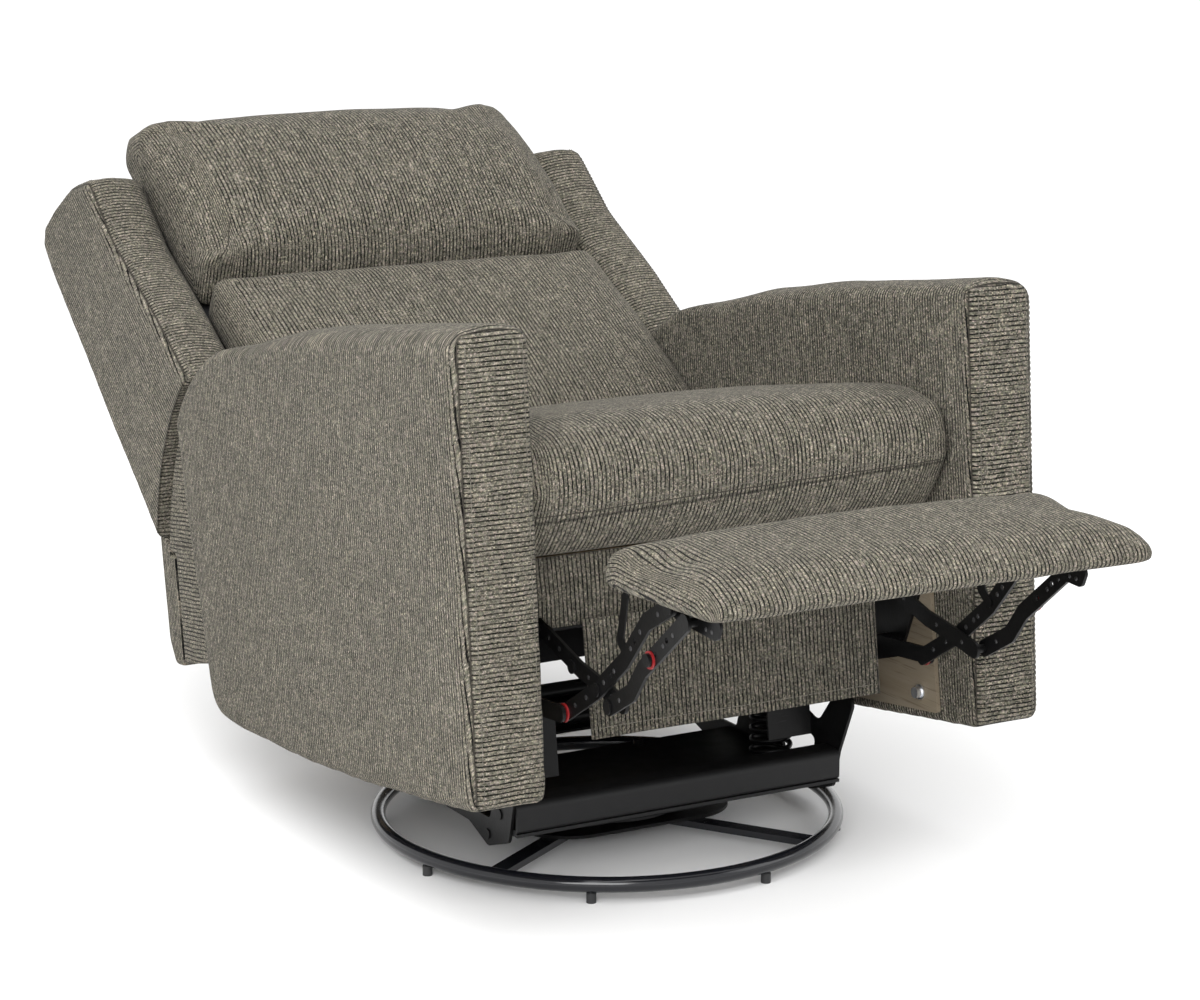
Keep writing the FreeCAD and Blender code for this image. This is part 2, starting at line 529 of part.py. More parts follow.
HW = dim("link_half_width")
LINKS = {
    "drive_link": (232.0, [PK, (-377, 271), X1, NB], [(PK, "rivet_hole_radius")]),
    "long_link": (240.0, [QM, X1, (-496, 294), (-550, 341), TA], [(X1, "rivet_hole_radius"), (TA, "rivet_hole_radius"), ((-463, 274.5), "link_hole_radius"), ((-523, 317.5), "link_hole_radius")]),
    "front_link": (248.0, [NB, (-520, 262), (-548, 290), TB], [(NB, "rivet_hole_radius"), ((-578, 309), "link_hole_radius"), ((-606, 327), "link_hole_radius")]),
    "control_link": (248.0, [PM, QM], [(PM, "rivet_hole_radius")]),
}
for nm, (x, pts, holes) in LINKS.items():
    group(nm + "s", [side_piece("%s_%s" % (nm, side), strip(pts, HW), x if s > 0 else -x - dim("link_thick"), "dims.link_thick",
                                holes=[(h[0][0], h[0][1], h[1]) for h in holes], node=False) for side, s in SIDES])
group("front_link_nuts", [cylinder("front_nut_" + side, "7.5", "4.5", leaned(at(s * 254.0, -569, 302.8, X90, 90 * s))) for side, s in SIDES])
dt = cylinder("drive_tube_bar", "dims.drive_tube_radius", "2 * 231.9", leaned(at(-231.9, PK[0], PK[1], X90, 90)))
keep(dt, "drive_tube")
st = []
for side, s in SIDES:
    st.append(stud("drive_stud_x_" + side, s, X1[0], X1[1], 236.0, 246.9, (244.6, 246.9)))
    st.append(stud("drive_stud_n_" + side, s, NB[0], NB[1], 236.0, 254.9, (252.6, 254.9)))
    st.append(cylinder("drive_bolt_" + side, "8", "2", leaned(at(s * 236.0, -361, 273, X90, 90 * s))))
group("drive_link_studs", st)
group("control_link_studs", [stud("control_stud_" + side, s, QM[0], QM[1], 248.0, 246.4, (246.4, 247.9)) for side, s in SIDES])
washers = []
for side, s in SIDES:
    washers.append(cylinder("long_washer_" + side, "11", "2.2", leaned(at(s * 244.0, QM[0], QM[1], X90, 90 * s))))
group("link_washers", washers)
group("front_link_washers", [cylinder("front_washer_" + side, "10", "2.0", leaned(at(s * 252.0, -569, 302.8, X90, 90 * s))) for side, s in SIDES])
STOP = [(-496, 299), (-482, 314), (-490, 334), (-500, 362)]
group("footrest_stops", [side_piece("footrest_stop_" + side, strip(STOP, 6.5), 238.2 if s > 0 else -239.9, "dims.link_thick - 2.3", node=False) for side, s in SIDES])

BR = [(-590, 377.4, 3), (-586, 356, 8), (-602, 346, 8), (-682, 330, 8), (-691, 345, 6), (-686, 367.4, 3)]
group("footrest_brackets", [side_piece("footrest_bracket_" + side, BR, 232.0 if s > 0 else -236.0, "dims.link_thick", node=False) for side, s in SIDES])
fst = []
for side, s in SIDES:
    fst.append(stud("foot_stud_a_" + side, s, TA[0], TA[1], 236.0, 246.9, (244.6, 246.9)))
    fst.append(cylinder("foot_stud_b_" + side, "dims.rivet_radius", "11.9", leaned(at(s * 236.0, TB[0], TB[1], X90, 90 * s))))
group("footrest_studs", fst)
BOARD = [(-538, 395.6, 2), (-744, 373.9, 2), (-742.8, 362, 2), (-536.8, 383.7, 2)]
side_piece("footrest_board", BOARD, -268.0, "536")
PAD = [(-530, 397, 6), (-532, 426, 14), (-562, 433, 20), (-663, 414, 60), (-728, 400, 30), (-758, 380, 16), (-758, 360, 8), (-747.4, 358, 3), (-746.2, 374.3)]
side_piece("footrest_pad", PAD, -dim("foot_half_width"), "2 * dims.foot_half_width")

# ---------------------------------------------------------------- check and write
doc.recompute()
bad = [o.Name for o in doc.Objects if "Invalid" in o.State or "Error" in o.State]
if bad:
    raise RuntimeError("failed objects: %s" % bad)
labels = set()
for o in NODES:
    s = o.Shape
    if s.isNull() or not s.isValid() or s.Volume <= 0 or not s.Solids:
        raise RuntimeError("bad shape: %s" % o.Label)
    if o.Label in labels:
        raise RuntimeError("label used twice: %s" % o.Label)
    labels.add(o.Label)
os.makedirs("parts", exist_ok=True)
for o in NODES:
    o.Shape.exportStep("parts/%s.step" % o.Label)
print(len(NODES), "sub-parts written")
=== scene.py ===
import bpy
import math
import numpy as np
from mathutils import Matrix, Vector
from mathutils.bvhtree import BVHTree

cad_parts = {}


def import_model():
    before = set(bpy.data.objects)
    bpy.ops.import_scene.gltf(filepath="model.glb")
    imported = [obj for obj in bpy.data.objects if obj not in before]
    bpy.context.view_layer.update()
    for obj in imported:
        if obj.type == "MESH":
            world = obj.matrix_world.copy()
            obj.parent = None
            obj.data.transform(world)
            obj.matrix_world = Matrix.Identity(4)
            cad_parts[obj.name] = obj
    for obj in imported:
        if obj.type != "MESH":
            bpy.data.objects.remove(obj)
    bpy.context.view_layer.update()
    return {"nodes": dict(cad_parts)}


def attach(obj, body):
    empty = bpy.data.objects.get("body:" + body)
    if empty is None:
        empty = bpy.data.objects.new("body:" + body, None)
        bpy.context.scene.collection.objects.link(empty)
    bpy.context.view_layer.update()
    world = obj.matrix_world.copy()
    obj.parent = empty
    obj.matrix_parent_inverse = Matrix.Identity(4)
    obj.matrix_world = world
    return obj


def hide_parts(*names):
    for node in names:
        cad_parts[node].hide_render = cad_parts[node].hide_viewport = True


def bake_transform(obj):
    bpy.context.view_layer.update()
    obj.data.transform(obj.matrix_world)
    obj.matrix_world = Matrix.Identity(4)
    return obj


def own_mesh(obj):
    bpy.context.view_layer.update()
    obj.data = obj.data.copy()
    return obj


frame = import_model()
NODES = frame["nodes"]
SCENE = bpy.context.scene

# The upper chair is described in its own level frame, in millimetres, and is
# leaned back about the rocking shaft: x to the side, y to the back, z up.
LEAN = math.radians(8.02)
CS, SN = math.cos(LEAN), math.sin(LEAN)
HINGE = (183.0, 319.0)


def world(p):
    """Level chair frame in mm to the row frame in metres."""
    p = np.asarray(p, float)
    y, z = p[..., 1], p[..., 2] - 150.0
    return np.stack([p[..., 0], y * CS + z * SN, -y * SN + z * CS + 150.0], -1) / 1000.0


def chair(q):
    """Row frame in metres to the level chair frame in mm."""
    q = np.asarray(q, float) * 1000.0
    y, z = q[..., 1], q[..., 2] - 150.0
    return np.stack([q[..., 0], y * CS - z * SN, y * SN + z * CS + 150.0], -1)


def ph(r, deg):
    a = math.radians(deg)
    return (HINGE[0] + r * math.sin(a), HINGE[1] + r * math.cos(a))


def arc(r, a, b, n):
    return [ph(r, a + (b - a) * i / n) for i in range(n + 1)]


# ---------------------------------------------------------------- outlines

def resample(p, step, closed=True):
    p = np.asarray(p, float)
    q = np.vstack([p, p[:1]]) if closed else p
    d = np.r_[0, np.cumsum(np.linalg.norm(np.diff(q, axis=0), axis=1))]
    n = max(3, int(round(d[-1] / step)))
    t = np.linspace(0, d[-1], n + 1)
    if closed:
        t = t[:-1]
    return np.stack([np.interp(t, d, q[:, k]) for k in range(q.shape[1])], 1)


def fillet(pts, step=5.0):
    """Closed outline through (y, z[, corner radius]) points."""
    out, n = [], len(pts)
    for i in range(n):
        p = np.array(pts[i][:2], float)
        r = pts[i][2] if len(pts[i]) > 2 else 0.0
        if r <= 0:
            out.append(p)
            continue
        a, b = np.array(pts[i - 1][:2], float), np.array(pts[(i + 1) % n][:2], float)
        u, v = (a - p), (b - p)
        lu, lv = np.linalg.norm(u), np.linalg.norm(v)
        u, v = u / lu, v / lv
        ang = math.acos(max(-1.0, min(1.0, float(u @ v))))
        if ang > math.pi - 0.02:
            out.append(p)
            continue
        t = min(r / math.tan(ang / 2), 0.48 * lu, 0.48 * lv)
        r = t * math.tan(ang / 2)
        c = p + (u + v) / np.linalg.norm(u + v) * (r / math.sin(ang / 2))
        p0, p1 = p + u * t, p + v * t
        a0 = math.atan2(*(p0 - c)[::-1])
        a1 = math.atan2(*(p1 - c)[::-1])
        d = (a1 - a0 + math.pi) % (2 * math.pi) - math.pi
        k = max(2, int(abs(d) * r / 2.5) + 1)
        out.extend(c + r * np.array([math.cos(a0 + d * j / k), math.sin(a0 + d * j / k)]) for j in range(k + 1))
    return resample(out, step)


def normals2(poly):
    t = np.roll(poly, -1, 0) - np.roll(poly, 1, 0)
    n = np.stack([t[:, 1], -t[:, 0]], 1)
    n /= np.linalg.norm(n, axis=1)[:, None] + 1e-12
    b = np.roll(poly, -1, 0)
    area = (poly[:, 0] * b[:, 1] - b[:, 0] * poly[:, 1]).sum() / 2
    return n if area > 0 else -n


def near(pts, poly, closed=True):
    """Depth inside the outline in mm (negative outside) and the place along it."""
    a = poly if closed else poly[:-1]
    b = np.roll(poly, -1, 0) if closed else poly[1:]
    ab = b - a
    l2 = (ab ** 2).sum(1) + 1e-12
    cum = np.r_[0, np.cumsum(np.sqrt(l2))][:-1]
    dep, pos = np.empty(len(pts)), np.empty(len(pts))
    for k in range(0, len(pts), 4000):
        p = pts[k:k + 4000]
        t = np.clip(((p[:, None] - a) * ab).sum(2) / l2, 0, 1)
        d2 = ((p[:, None] - (a + t[..., None] * ab)) ** 2).sum(2)
        i = d2.argmin(1)
        j = np.arange(len(p))
        dist = np.sqrt(d2[j, i])
        if closed:
            z0, z1 = a[:, 1], b[:, 1]
            cross = (z0 <= p[:, 1, None]) != (z1 <= p[:, 1, None])
            yint = a[:, 0] + (p[:, 1, None] - z0) / np.where(np.abs(z1 - z0) < 1e-9, 1e-9, z1 - z0) * ab[:, 0]
            inside = (cross & (p[:, 0, None] < yint)).sum(1) % 2 == 1
            dist = np.where(inside, dist, -dist)
        dep[k:k + 4000] = dist
        pos[k:k + 4000] = cum[i] + t[j, i] * np.sqrt(l2[i])
    return dep, pos


def loft(poly, rings):
    """Closed skin along x: each ring is (x, inset), numbers or one value per outline point."""
    nrm, n = normals2(poly), len(poly)
    verts = []
    for x, inset in rings:
        q = poly - nrm * np.broadcast_to(np.asarray(inset, float), (n,))[:, None]
        verts.append(np.column_stack([np.broadcast_to(np.asarray(x, float), (n,)), q]))
    faces = []
    for k in range(len(rings) - 1):
        for i in range(n):
            j = (i + 1) % n
            faces.append((k * n + i, k * n + j, (k + 1) * n + j, (k + 1) * n + i))
    faces.append(tuple(range(n))[::-1])
    faces.append(tuple((len(rings) - 1) * n + i for i in range(n)))
    return np.vstack(verts), faces


def rounded(x0, x1, r0, r1, crown=0.0, inset=0.0, steps=6, mid=10):
    """Rings from x0 to x1 with rounded end edges and a crowned middle."""
    r0, r1, crown = np.asarray(r0, float), np.asarray(r1, float), np.asarray(crown, float)
    out = []
    for k in range(steps + 1):
        t = k / steps * math.pi / 2
        out.append((x0 + r0 * (1 - math.cos(t)), r0 * (1 - math.sin(t)) + crown + inset))
    for k in range(1, mid):
        f = k / mid
        out.append((x0 + r0 + (x1 - r1 - x0 - r0) * f, crown * (1 - math.sin(math.pi * f)) + inset))
    for k in range(steps, -1, -1):
        t = k / steps * math.pi / 2
        out.append((x1 - r1 * (1 - math.cos(t)), r1 * (1 - math.sin(t)) + crown + inset))
    return out


# ------------------------------------------------------------------ meshes

def mesh_object(name, verts, faces):
    me = bpy.data.meshes.new(name)
    me.from_pydata([tuple(v) for v in verts], [], [tuple(int(i) for i in f) for f in faces])
    me.update()
    ob = bpy.data.objects.new(name, me)
    SCENE.collection.objects.link(ob)
    return ob


def settle(ob):
    """Makes the object's modifiers part of its mesh."""
    dg = bpy.context.evaluated_depsgraph_get()
    dg.update()
    me = bpy.data.meshes.new_from_object(ob.evaluated_get(dg))
    ob.modifiers.clear()
    old = ob.data
    ob.data = me
    bpy.data.meshes.remove(old)
    me.name = ob.name


def get_co(ob):
    a = np.empty(len(ob.data.vertices) * 3)
    ob.data.vertices.foreach_get("co", a)
    return a.reshape(-1, 3)


def set_co(ob, co):
    ob.data.vertices.foreach_set("co", np.ascontiguousarray(co, np.float32).ravel())
    ob.data.update()


def get_nrm(ob):
    ob.data.update()
    a = np.empty(len(ob.data.vertices) * 3)
    ob.data.vertices.foreach_get("normal", a)
    return a.reshape(-1, 3)


def get_edges(ob):
    a = np.empty(len(ob.data.edges) * 2, np.int32)
    ob.data.edges.foreach_get("vertices", a)
    return a.reshape(-1, 2)


def smooth(ob, times, lam=0.5, keep=None):
    co, e = get_co(ob), get_edges(ob)
    n = len(co)
    deg = np.bincount(e.ravel(), minlength=n).astype(float)[:, None] + 1e-9
    for _ in range(times):
        acc = np.stack([np.bincount(e[:, 0], co[e[:, 1], k], n) + np.bincount(e[:, 1], co[e[:, 0], k], n) for k in range(3)], 1)
        step = lam * (acc / deg - co)
        co = co + (step if keep is None else step * (1 - keep)[:, None])
    set_co(ob, co)


def remesh(ob, size):
    m = ob.modifiers.new("voxels", "REMESH")
    m.mode = "VOXEL"
    m.voxel_size = size
    settle(ob)


def subdivide(ob):
    m = ob.modifiers.new("round", "SUBSURF")
    m.levels = m.render_levels = 1
    settle(ob)


def inflate(ob, pinned, cap, pressure=4.0, frames=20, stiff=15.0, bend=0.6):
    """Swells a stuffed cover under inside pressure, held where it is sewn or rests."""
    rest = get_co(ob)
    g = ob.vertex_groups.new(name="pin")
    g.add([int(i) for i in np.nonzero(pinned)[0]], 1.0, "REPLACE")
    m = ob.modifiers.new("cloth", "CLOTH")
    s = m.settings
    s.quality = 6
    s.mass = 0.3
    s.tension_stiffness = s.compression_stiffness = stiff
    s.shear_stiffness = stiff * 0.5
    s.bending_stiffness = bend
    s.air_damping = 2.0
    s.use_pressure = True
    s.uniform_pressure_force = pressure
    s.vertex_group_mass = "pin"
    s.effector_weights.gravity = 0.0
    m.collision_settings.use_collision = False
    m.collision_settings.use_self_collision = False
    m.point_cache.frame_start, m.point_cache.frame_end = 1, frames
    for f in range(1, frames + 1):
        SCENE.frame_set(f)
    ev = ob.evaluated_get(bpy.context.evaluated_depsgraph_get())
    a = np.empty(len(ev.data.vertices) * 3)
    ev.data.vertices.foreach_get("co", a)
    moved = a.reshape(-1, 3) - rest
    ob.modifiers.clear()
    ob.vertex_groups.clear()
    SCENE.frame_set(1)
    length = np.linalg.norm(moved, axis=1)[:, None] + 1e-12
    soft_cap = cap * np.tanh(length / cap)
    set_co(ob, rest + moved / length * soft_cap)
    print("swell", ob.name, len(rest), "mean %.1f max %.1f mm" % (length[~pinned].mean() * 1e3, length.max() * 1e3))


RNG = np.random.default_rng(11)
WAVES = RNG.normal(size=(14, 3))
WAVES /= np.linalg.norm(WAVES, axis=1)[:, None]
PHASE = RNG.uniform(0, 6.283, 14)


def wobble(q, length):
    """Smooth unevenness, about -1 to 1, over lengths in metres."""
    s = np.zeros(len(q))
    for i in range(14):
        s += np.sin(q @ WAVES[i] * (6.283 / length * (0.6 + 0.07 * i)) + PHASE[i])
    return s / 4.5


# --------------------------------------------------------------- materials

class Graph:
    def __init__(self, name):
        self.m = bpy.data.materials.new(name)
        self.m.use_nodes = True
        self.t = self.m.node_tree
        self.t.nodes.clear()
        self.out = self.t.nodes.new("ShaderNodeOutputMaterial")
        self.bsdf = self.t.nodes.new("ShaderNodeBsdfPrincipled")
        self.t.links.new(self.bsdf.outputs[0], self.out.inputs[0])

    def put(self, socket, v):
        if isinstance(v, bpy.types.NodeSocket):
            self.t.links.new(v, socket)
        elif v is not None:
            socket.default_value = v

    def math(self, op, a, b=None, c=None, clamp=False):
        n = self.t.nodes.new("ShaderNodeMath")
        n.operation = op
        n.use_clamp = clamp
        for k, v in enumerate((a, b, c)):
            self.put(n.inputs[k], v)
        return n.outputs[0]

    def step(self, v, lo, hi, to_lo=0.0, to_hi=1.0, smooth=True):
        n = self.t.nodes.new("ShaderNodeMapRange")
        n.interpolation_type = "SMOOTHSTEP" if smooth else "LINEAR"
        self.put(n.inputs[0], v)
        for k, x in enumerate((lo, hi, to_lo, to_hi)):
            n.inputs[k + 1].default_value = x
        return n.outputs[0]

    def attr(self, name):
        n = self.t.nodes.new("ShaderNodeAttribute")
        n.attribute_type = "GEOMETRY"
        n.attribute_name = name
        return n.outputs["Vector"]

    def coords(self):
        return self.t.nodes.new("ShaderNodeTexCoord").outputs["Object"]

    def split(self, v):
        n = self.t.nodes.new("ShaderNodeSeparateXYZ")
        self.put(n.inputs[0], v)
        return n.outputs[0], n.outputs[1], n.outputs[2]

    def join(self, x, y, z):
        n = self.t.nodes.new("ShaderNodeCombineXYZ")
        for k, v in enumerate((x, y, z)):
            self.put(n.inputs[k], v)
        return n.outputs[0]

    def scaled(self, v, s):
        n = self.t.nodes.new("ShaderNodeVectorMath")
        n.operation = "MULTIPLY"
        self.put(n.inputs[0], v)
        n.inputs[1].default_value = s
        return n.outputs[0]

    def noise(self, v, scale, detail=2.0, rough=0.5, distort=0.0):
        n = self.t.nodes.new("ShaderNodeTexNoise")
        self.put(n.inputs["Vector"], v)
        n.inputs["Scale"].default_value = scale
        n.inputs["Detail"].default_value = detail
        n.inputs["Roughness"].default_value = rough
        n.inputs["Distortion"].default_value = distort
        return n.outputs["Fac"]

    def random(self, v):
        n = self.t.nodes.new("ShaderNodeTexWhiteNoise")
        n.noise_dimensions = "3D"
        self.put(n.inputs["Vector"], v)
        return n.outputs["Value"], n.outputs["Color"]

    def mixv(self, f, a, b):
        n = self.t.nodes.new("ShaderNodeMix")
        n.data_type = "VECTOR"
        self.put(n.inputs[0], f)
        self.put(n.inputs[4], a)
        self.put(n.inputs[5], b)
        return n.outputs[1]

    def mixc(self, f, a, b, how="MIX"):
        n = self.t.nodes.new("ShaderNodeMix")
        n.data_type = "RGBA"
        n.blend_type = how
        self.put(n.inputs[0], f)
        self.put(n.inputs[6], a)
        self.put(n.inputs[7], b)
        return n.outputs[2]

    def ramp(self, f, stops, kind="LINEAR"):
        n = self.t.nodes.new("ShaderNodeValToRGB")
        n.color_ramp.interpolation = kind
        el = n.color_ramp.elements
        while len(el) < len(stops):
            el.new(0.5)
        for e, (pos, col) in zip(el, stops):
            e.position = pos
            e.color = (*col, 1.0)
        self.put(n.inputs[0], f)
        return n.outputs[0]

    def bump(self, h, dist, strength=1.0):
        n = self.t.nodes.new("ShaderNodeBump")
        n.inputs["Strength"].default_value = strength
        n.inputs["Distance"].default_value = dist
        self.put(n.inputs["Height"], h)
        self.t.links.new(n.outputs[0], self.bsdf.inputs["Normal"])

    def set(self, **kw):
        for k, v in kw.items():
            self.put(self.bsdf.inputs[k.replace("_", " ")], v)


RIB = 0.0054
YARN = 0.0022


def ribbed_fabric(name, painted_shade_gain=1.0):
    """Ribbed tweed: three fine yarn columns to a rib, short half-drop slubs, thin dark broken lines along the ribs, pale flecks."""
    g = Graph(name)
    fab, fab2 = g.attr("fab"), g.attr("fab2")
    zone = g.split(fab)[2]
    seed = g.split(fab2)[2]
    sel = g.math("GREATER_THAN", zone, 0.0)
    u, v, _ = g.split(g.mixv(sel, fab, fab2))
    pos = g.coords()
    drift = g.math("MULTIPLY_ADD", g.noise(pos, 24.0, 2.0), 0.0030, -0.0015)
    cu = g.math("MULTIPLY_ADD", g.math("ADD", u, drift), 3.0 / RIB, g.math("MULTIPLY", seed, 17.0))
    ci = g.math("FLOOR", cu)
    cf = g.math("SUBTRACT", cu, ci)
    across = g.math("SINE", g.math("MULTIPLY", cf, math.pi))
    # slubs, dropped by about half from column to column
    vv = g.math("MULTIPLY_ADD", v, 1.0 / YARN, g.math("MULTIPLY_ADD", g.random(g.join(ci, seed, 4.1))[0], 0.6, g.math("MULTIPLY", ci, 0.5)))
    vv = g.math("ADD", vv, g.math("MULTIPLY", g.noise(pos, 70.0, 1.0), 1.4))
    yi = g.math("FLOOR", vv)
    yf = g.math("SUBTRACT", vv, yi)
    along = g.math("SINE", g.math("MULTIPLY", yf, math.pi))
    dot = g.math("MULTIPLY", g.math("MULTIPLY_ADD", across, 0.40, 0.60), g.math("MULTIPLY_ADD", along, 0.40, 0.60))
    c1, ccol = g.random(g.join(ci, yi, seed))
    slub = g.ramp(c1, [(0.0, (0.28, 0.270, 0.250)), (0.3, (0.70, 0.69, 0.68)), (0.6, (1.03, 1.03, 1.03)), (0.85, (1.34, 1.34, 1.34)), (1.0, (2.05, 2.05, 2.05))])
    # narrow dark groove between ribs, broken into long dashes
    ri = g.math("FLOOR", g.math("MULTIPLY", cu, 1.0 / 3.0))
    edge = g.math("MULTIPLY", g.math("ABSOLUTE", g.math("SUBTRACT", g.math("MULTIPLY_ADD", cu, 1.0 / 3.0, -0.5), ri)), 2.0)
    groove = g.step(edge, 0.52, 0.80)
    dv = g.math("MULTIPLY_ADD", v, 1.0 / 0.016, g.math("MULTIPLY", g.random(g.join(ri, seed, 9.7))[0], 31.0))
    dv = g.math("ADD", dv, g.math("MULTIPLY", g.noise(pos, 40.0, 1.0), 1.2))
    dash = g.random(g.join(ri, g.math("FLOOR", dv), seed))[0]
    cut = g.step(dash, 0.50, 0.90, 1.0, 0.40)
    dark = g.math("MULTIPLY_ADD", g.math("MULTIPLY", groove, cut), -1.0, 1.0)
    # single yarns run on pale or dull along the rib
    rv = g.math("MULTIPLY_ADD", v, 1.0 / 0.0115, g.math("MULTIPLY", g.random(g.join(ci, seed, 2.3))[0], 31.0))
    run = g.ramp(g.random(g.join(ci, g.math("FLOOR", rv), seed))[0],
                 [(0.0, (0.80, 0.795, 0.785)), (1.0, (1.22, 1.22, 1.22))])
    rib = g.math("SUBTRACT", 1.0, g.math("MULTIPLY", edge, 2.0))
    body = g.math("MULTIPLY", g.math("MULTIPLY_ADD", dot, 1.10, 0.12), dark)
    fuzz = g.step(g.noise(pos, 900.0, 2.0), 0.25, 0.75, 0.80, 1.20, smooth=False)
    tone = g.step(g.noise(pos, 5.0, 3.0), 0.3, 0.7, 0.95, 1.05, smooth=False)
    # a gain below 1 darkens the whole weave: painted shade for pieces that sit in shade
    level = g.math("MULTIPLY", g.math("MULTIPLY", g.math("MULTIPLY", fuzz, tone), body), painted_shade_gain)
    col = g.mixc(1.0, slub, run, "MULTIPLY")
    col = g.mixc(1.0, col, (0.1500, 0.1400, 0.1125, 1.0), "MULTIPLY")
    col = g.mixc(1.0, col, g.join(level, level, level), "MULTIPLY")
    # a warm or cool cast from slub to slub
    cast = g.mixc(0.13, (1.0, 1.0, 1.0, 1.0), ccol)
    col = g.mixc(1.0, col, cast, "MULTIPLY")
    # painted shade: the colour darkens to 0.45 along the sewn groove where two panels meet
    seam = g.step(g.math("ABSOLUTE", zone), 0.0004, 0.0030, 0.45, 1.0)
    col = g.mixc(1.0, col, g.join(seam, seam, seam), "MULTIPLY")
    g.set(Base_Color=col, Roughness=0.93, Specular_IOR_Level=0.10, Sheen_Weight=0.03, Sheen_Roughness=0.55)
    h = g.math("ADD", g.math("MULTIPLY", rib, 0.16), g.math("MULTIPLY", dot, 0.60))
    h = g.math("ADD", h, g.math("MULTIPLY", g.noise(pos, 700.0, 2.0), 0.20))
    g.bump(h, 0.0007, 0.65)
    return g.m


def thread(name, col):
    g = Graph(name)
    pos = g.coords()
    f = g.noise(pos, 1800.0, 2.0)
    g.set(Base_Color=g.ramp(f, [(0.3, tuple(0.7 * c for c in col)), (0.7, tuple(1.25 * c for c in col))]), Roughness=0.8, Specular_IOR_Level=0.25)
    g.bump(f, 0.0003, 0.5)
    return g.m


def powder_black(name, rough, grain, base=0.004, gloss=0.17):
    """Black powder coat with a fine orange peel, faint rub marks and dust."""
    g = Graph(name)
    pos = g.coords()
    dust = g.step(g.noise(pos, 14.0, 5.0, 0.65), 0.52, 0.8, 0.0, 1.0)
    rub = g.step(g.noise(g.scaled(pos, (1.0, 7.0, 7.0)), 38.0, 4.0, 0.6), 0.60, 0.75, 0.0, 1.0)
    col = g.mixc(g.math("MULTIPLY", dust, 0.22), (base, base, base * 1.05, 1), (base * 3.2, base * 3.1, base * 3.0, 1))
    col = g.mixc(g.math("MULTIPLY", rub, 0.20), col, (0.035, 0.035, 0.037, 1))
    r = g.math("ADD", g.math("MULTIPLY_ADD", g.noise(pos, 60.0, 3.0), 0.16, rough - 0.08), g.math("MULTIPLY", dust, 0.10))
    g.set(Base_Color=col, Roughness=r, Specular_IOR_Level=gloss)
    g.bump(g.noise(pos, grain, 2.0, 0.6), 0.0004, 0.35)
    return g.m


def gloss_black(name):
    """Glossy black enamel with a soft orange peel and fine scuffs."""
    g = Graph(name)
    pos = g.coords()
    scuff = g.step(g.noise(g.scaled(pos, (1.0, 1.0, 5.0)), 55.0, 5.0, 0.7), 0.58, 0.74, 0.0, 1.0)
    col = g.mixc(scuff, (0.006, 0.0065, 0.009, 1), (0.014, 0.014, 0.017, 1))
    g.set(Base_Color=col, Roughness=g.math("MULTIPLY_ADD", scuff, 0.16, 0.16), Specular_IOR_Level=0.36, Coat_Weight=0.25, Coat_Roughness=0.12)
    g.bump(g.noise(pos, 160.0, 2.0), 0.0003, 0.25)
    return g.m


def moulded_black(name):
    g = Graph(name)
    pos = g.coords()
    n = g.noise(pos, 900.0, 2.0)
    g.set(Base_Color=g.ramp(g.noise(pos, 40.0, 3.0), [(0.3, (0.010, 0.010, 0.011)), (0.7, (0.020, 0.020, 0.021))]), Roughness=g.math("MULTIPLY_ADD", n, 0.2, 0.42))
    g.bump(n, 0.0002, 0.4)
    return g.m


def red_nylon(name):
    g = Graph(name)
    pos = g.coords()
    n = g.noise(pos, 420.0, 3.0)
    g.set(Base_Color=g.ramp(n, [(0.3, (0.17, 0.005, 0.007)), (0.7, (0.26, 0.009, 0.011))]), Roughness=g.math("MULTIPLY_ADD", n, 0.2, 0.35), Specular_IOR_Level=0.5)
    g.bump(n, 0.0002, 0.3)
    return g.m


def zinc(name):
    g = Graph(name)
    pos = g.coords()
    n = g.noise(pos, 120.0, 4.0, 0.65)
    g.set(Base_Color=g.ramp(n, [(0.3, (0.66, 0.68, 0.72)), (0.7, (0.86, 0.87, 0.88))]), Metallic=1.0, Roughness=g.math("MULTIPLY_ADD", n, 0.25, 0.22))
    g.bump(g.noise(pos, 600.0, 2.0), 0.0002, 0.3)
    return g.m


def pale_timber(name, tint=(1.0, 1.0, 1.0)):
    """Sawn poplar: long grain along y, darker pores and growth bands."""
    g = Graph(name)
    pos = g.coords()
    long = g.scaled(pos, (1.0, 0.09, 1.0))
    band = g.noise(long, 34.0, 4.0, 0.55, 0.4)
    pore = g.noise(g.scaled(pos, (1.0, 0.035, 1.0)), 420.0, 3.0, 0.6)
    col = g.ramp(band, [(0.25, (0.36, 0.245, 0.130)), (0.5, (0.50, 0.365, 0.215)), (0.75, (0.60, 0.460, 0.290))])
    col = g.mixc(g.step(pore, 0.56, 0.70, 0.0, 0.55), col, (0.20, 0.125, 0.062, 1))
    col = g.mixc(1.0, col, (*tint, 1.0), "MULTIPLY")
    g.set(Base_Color=col, Roughness=g.math("MULTIPLY_ADD", pore, 0.25, 0.55), Specular_IOR_Level=0.35)
    g.bump(g.math("ADD", band, g.math("MULTIPLY", pore, 0.6)), 0.0004, 0.5)
    return g.m


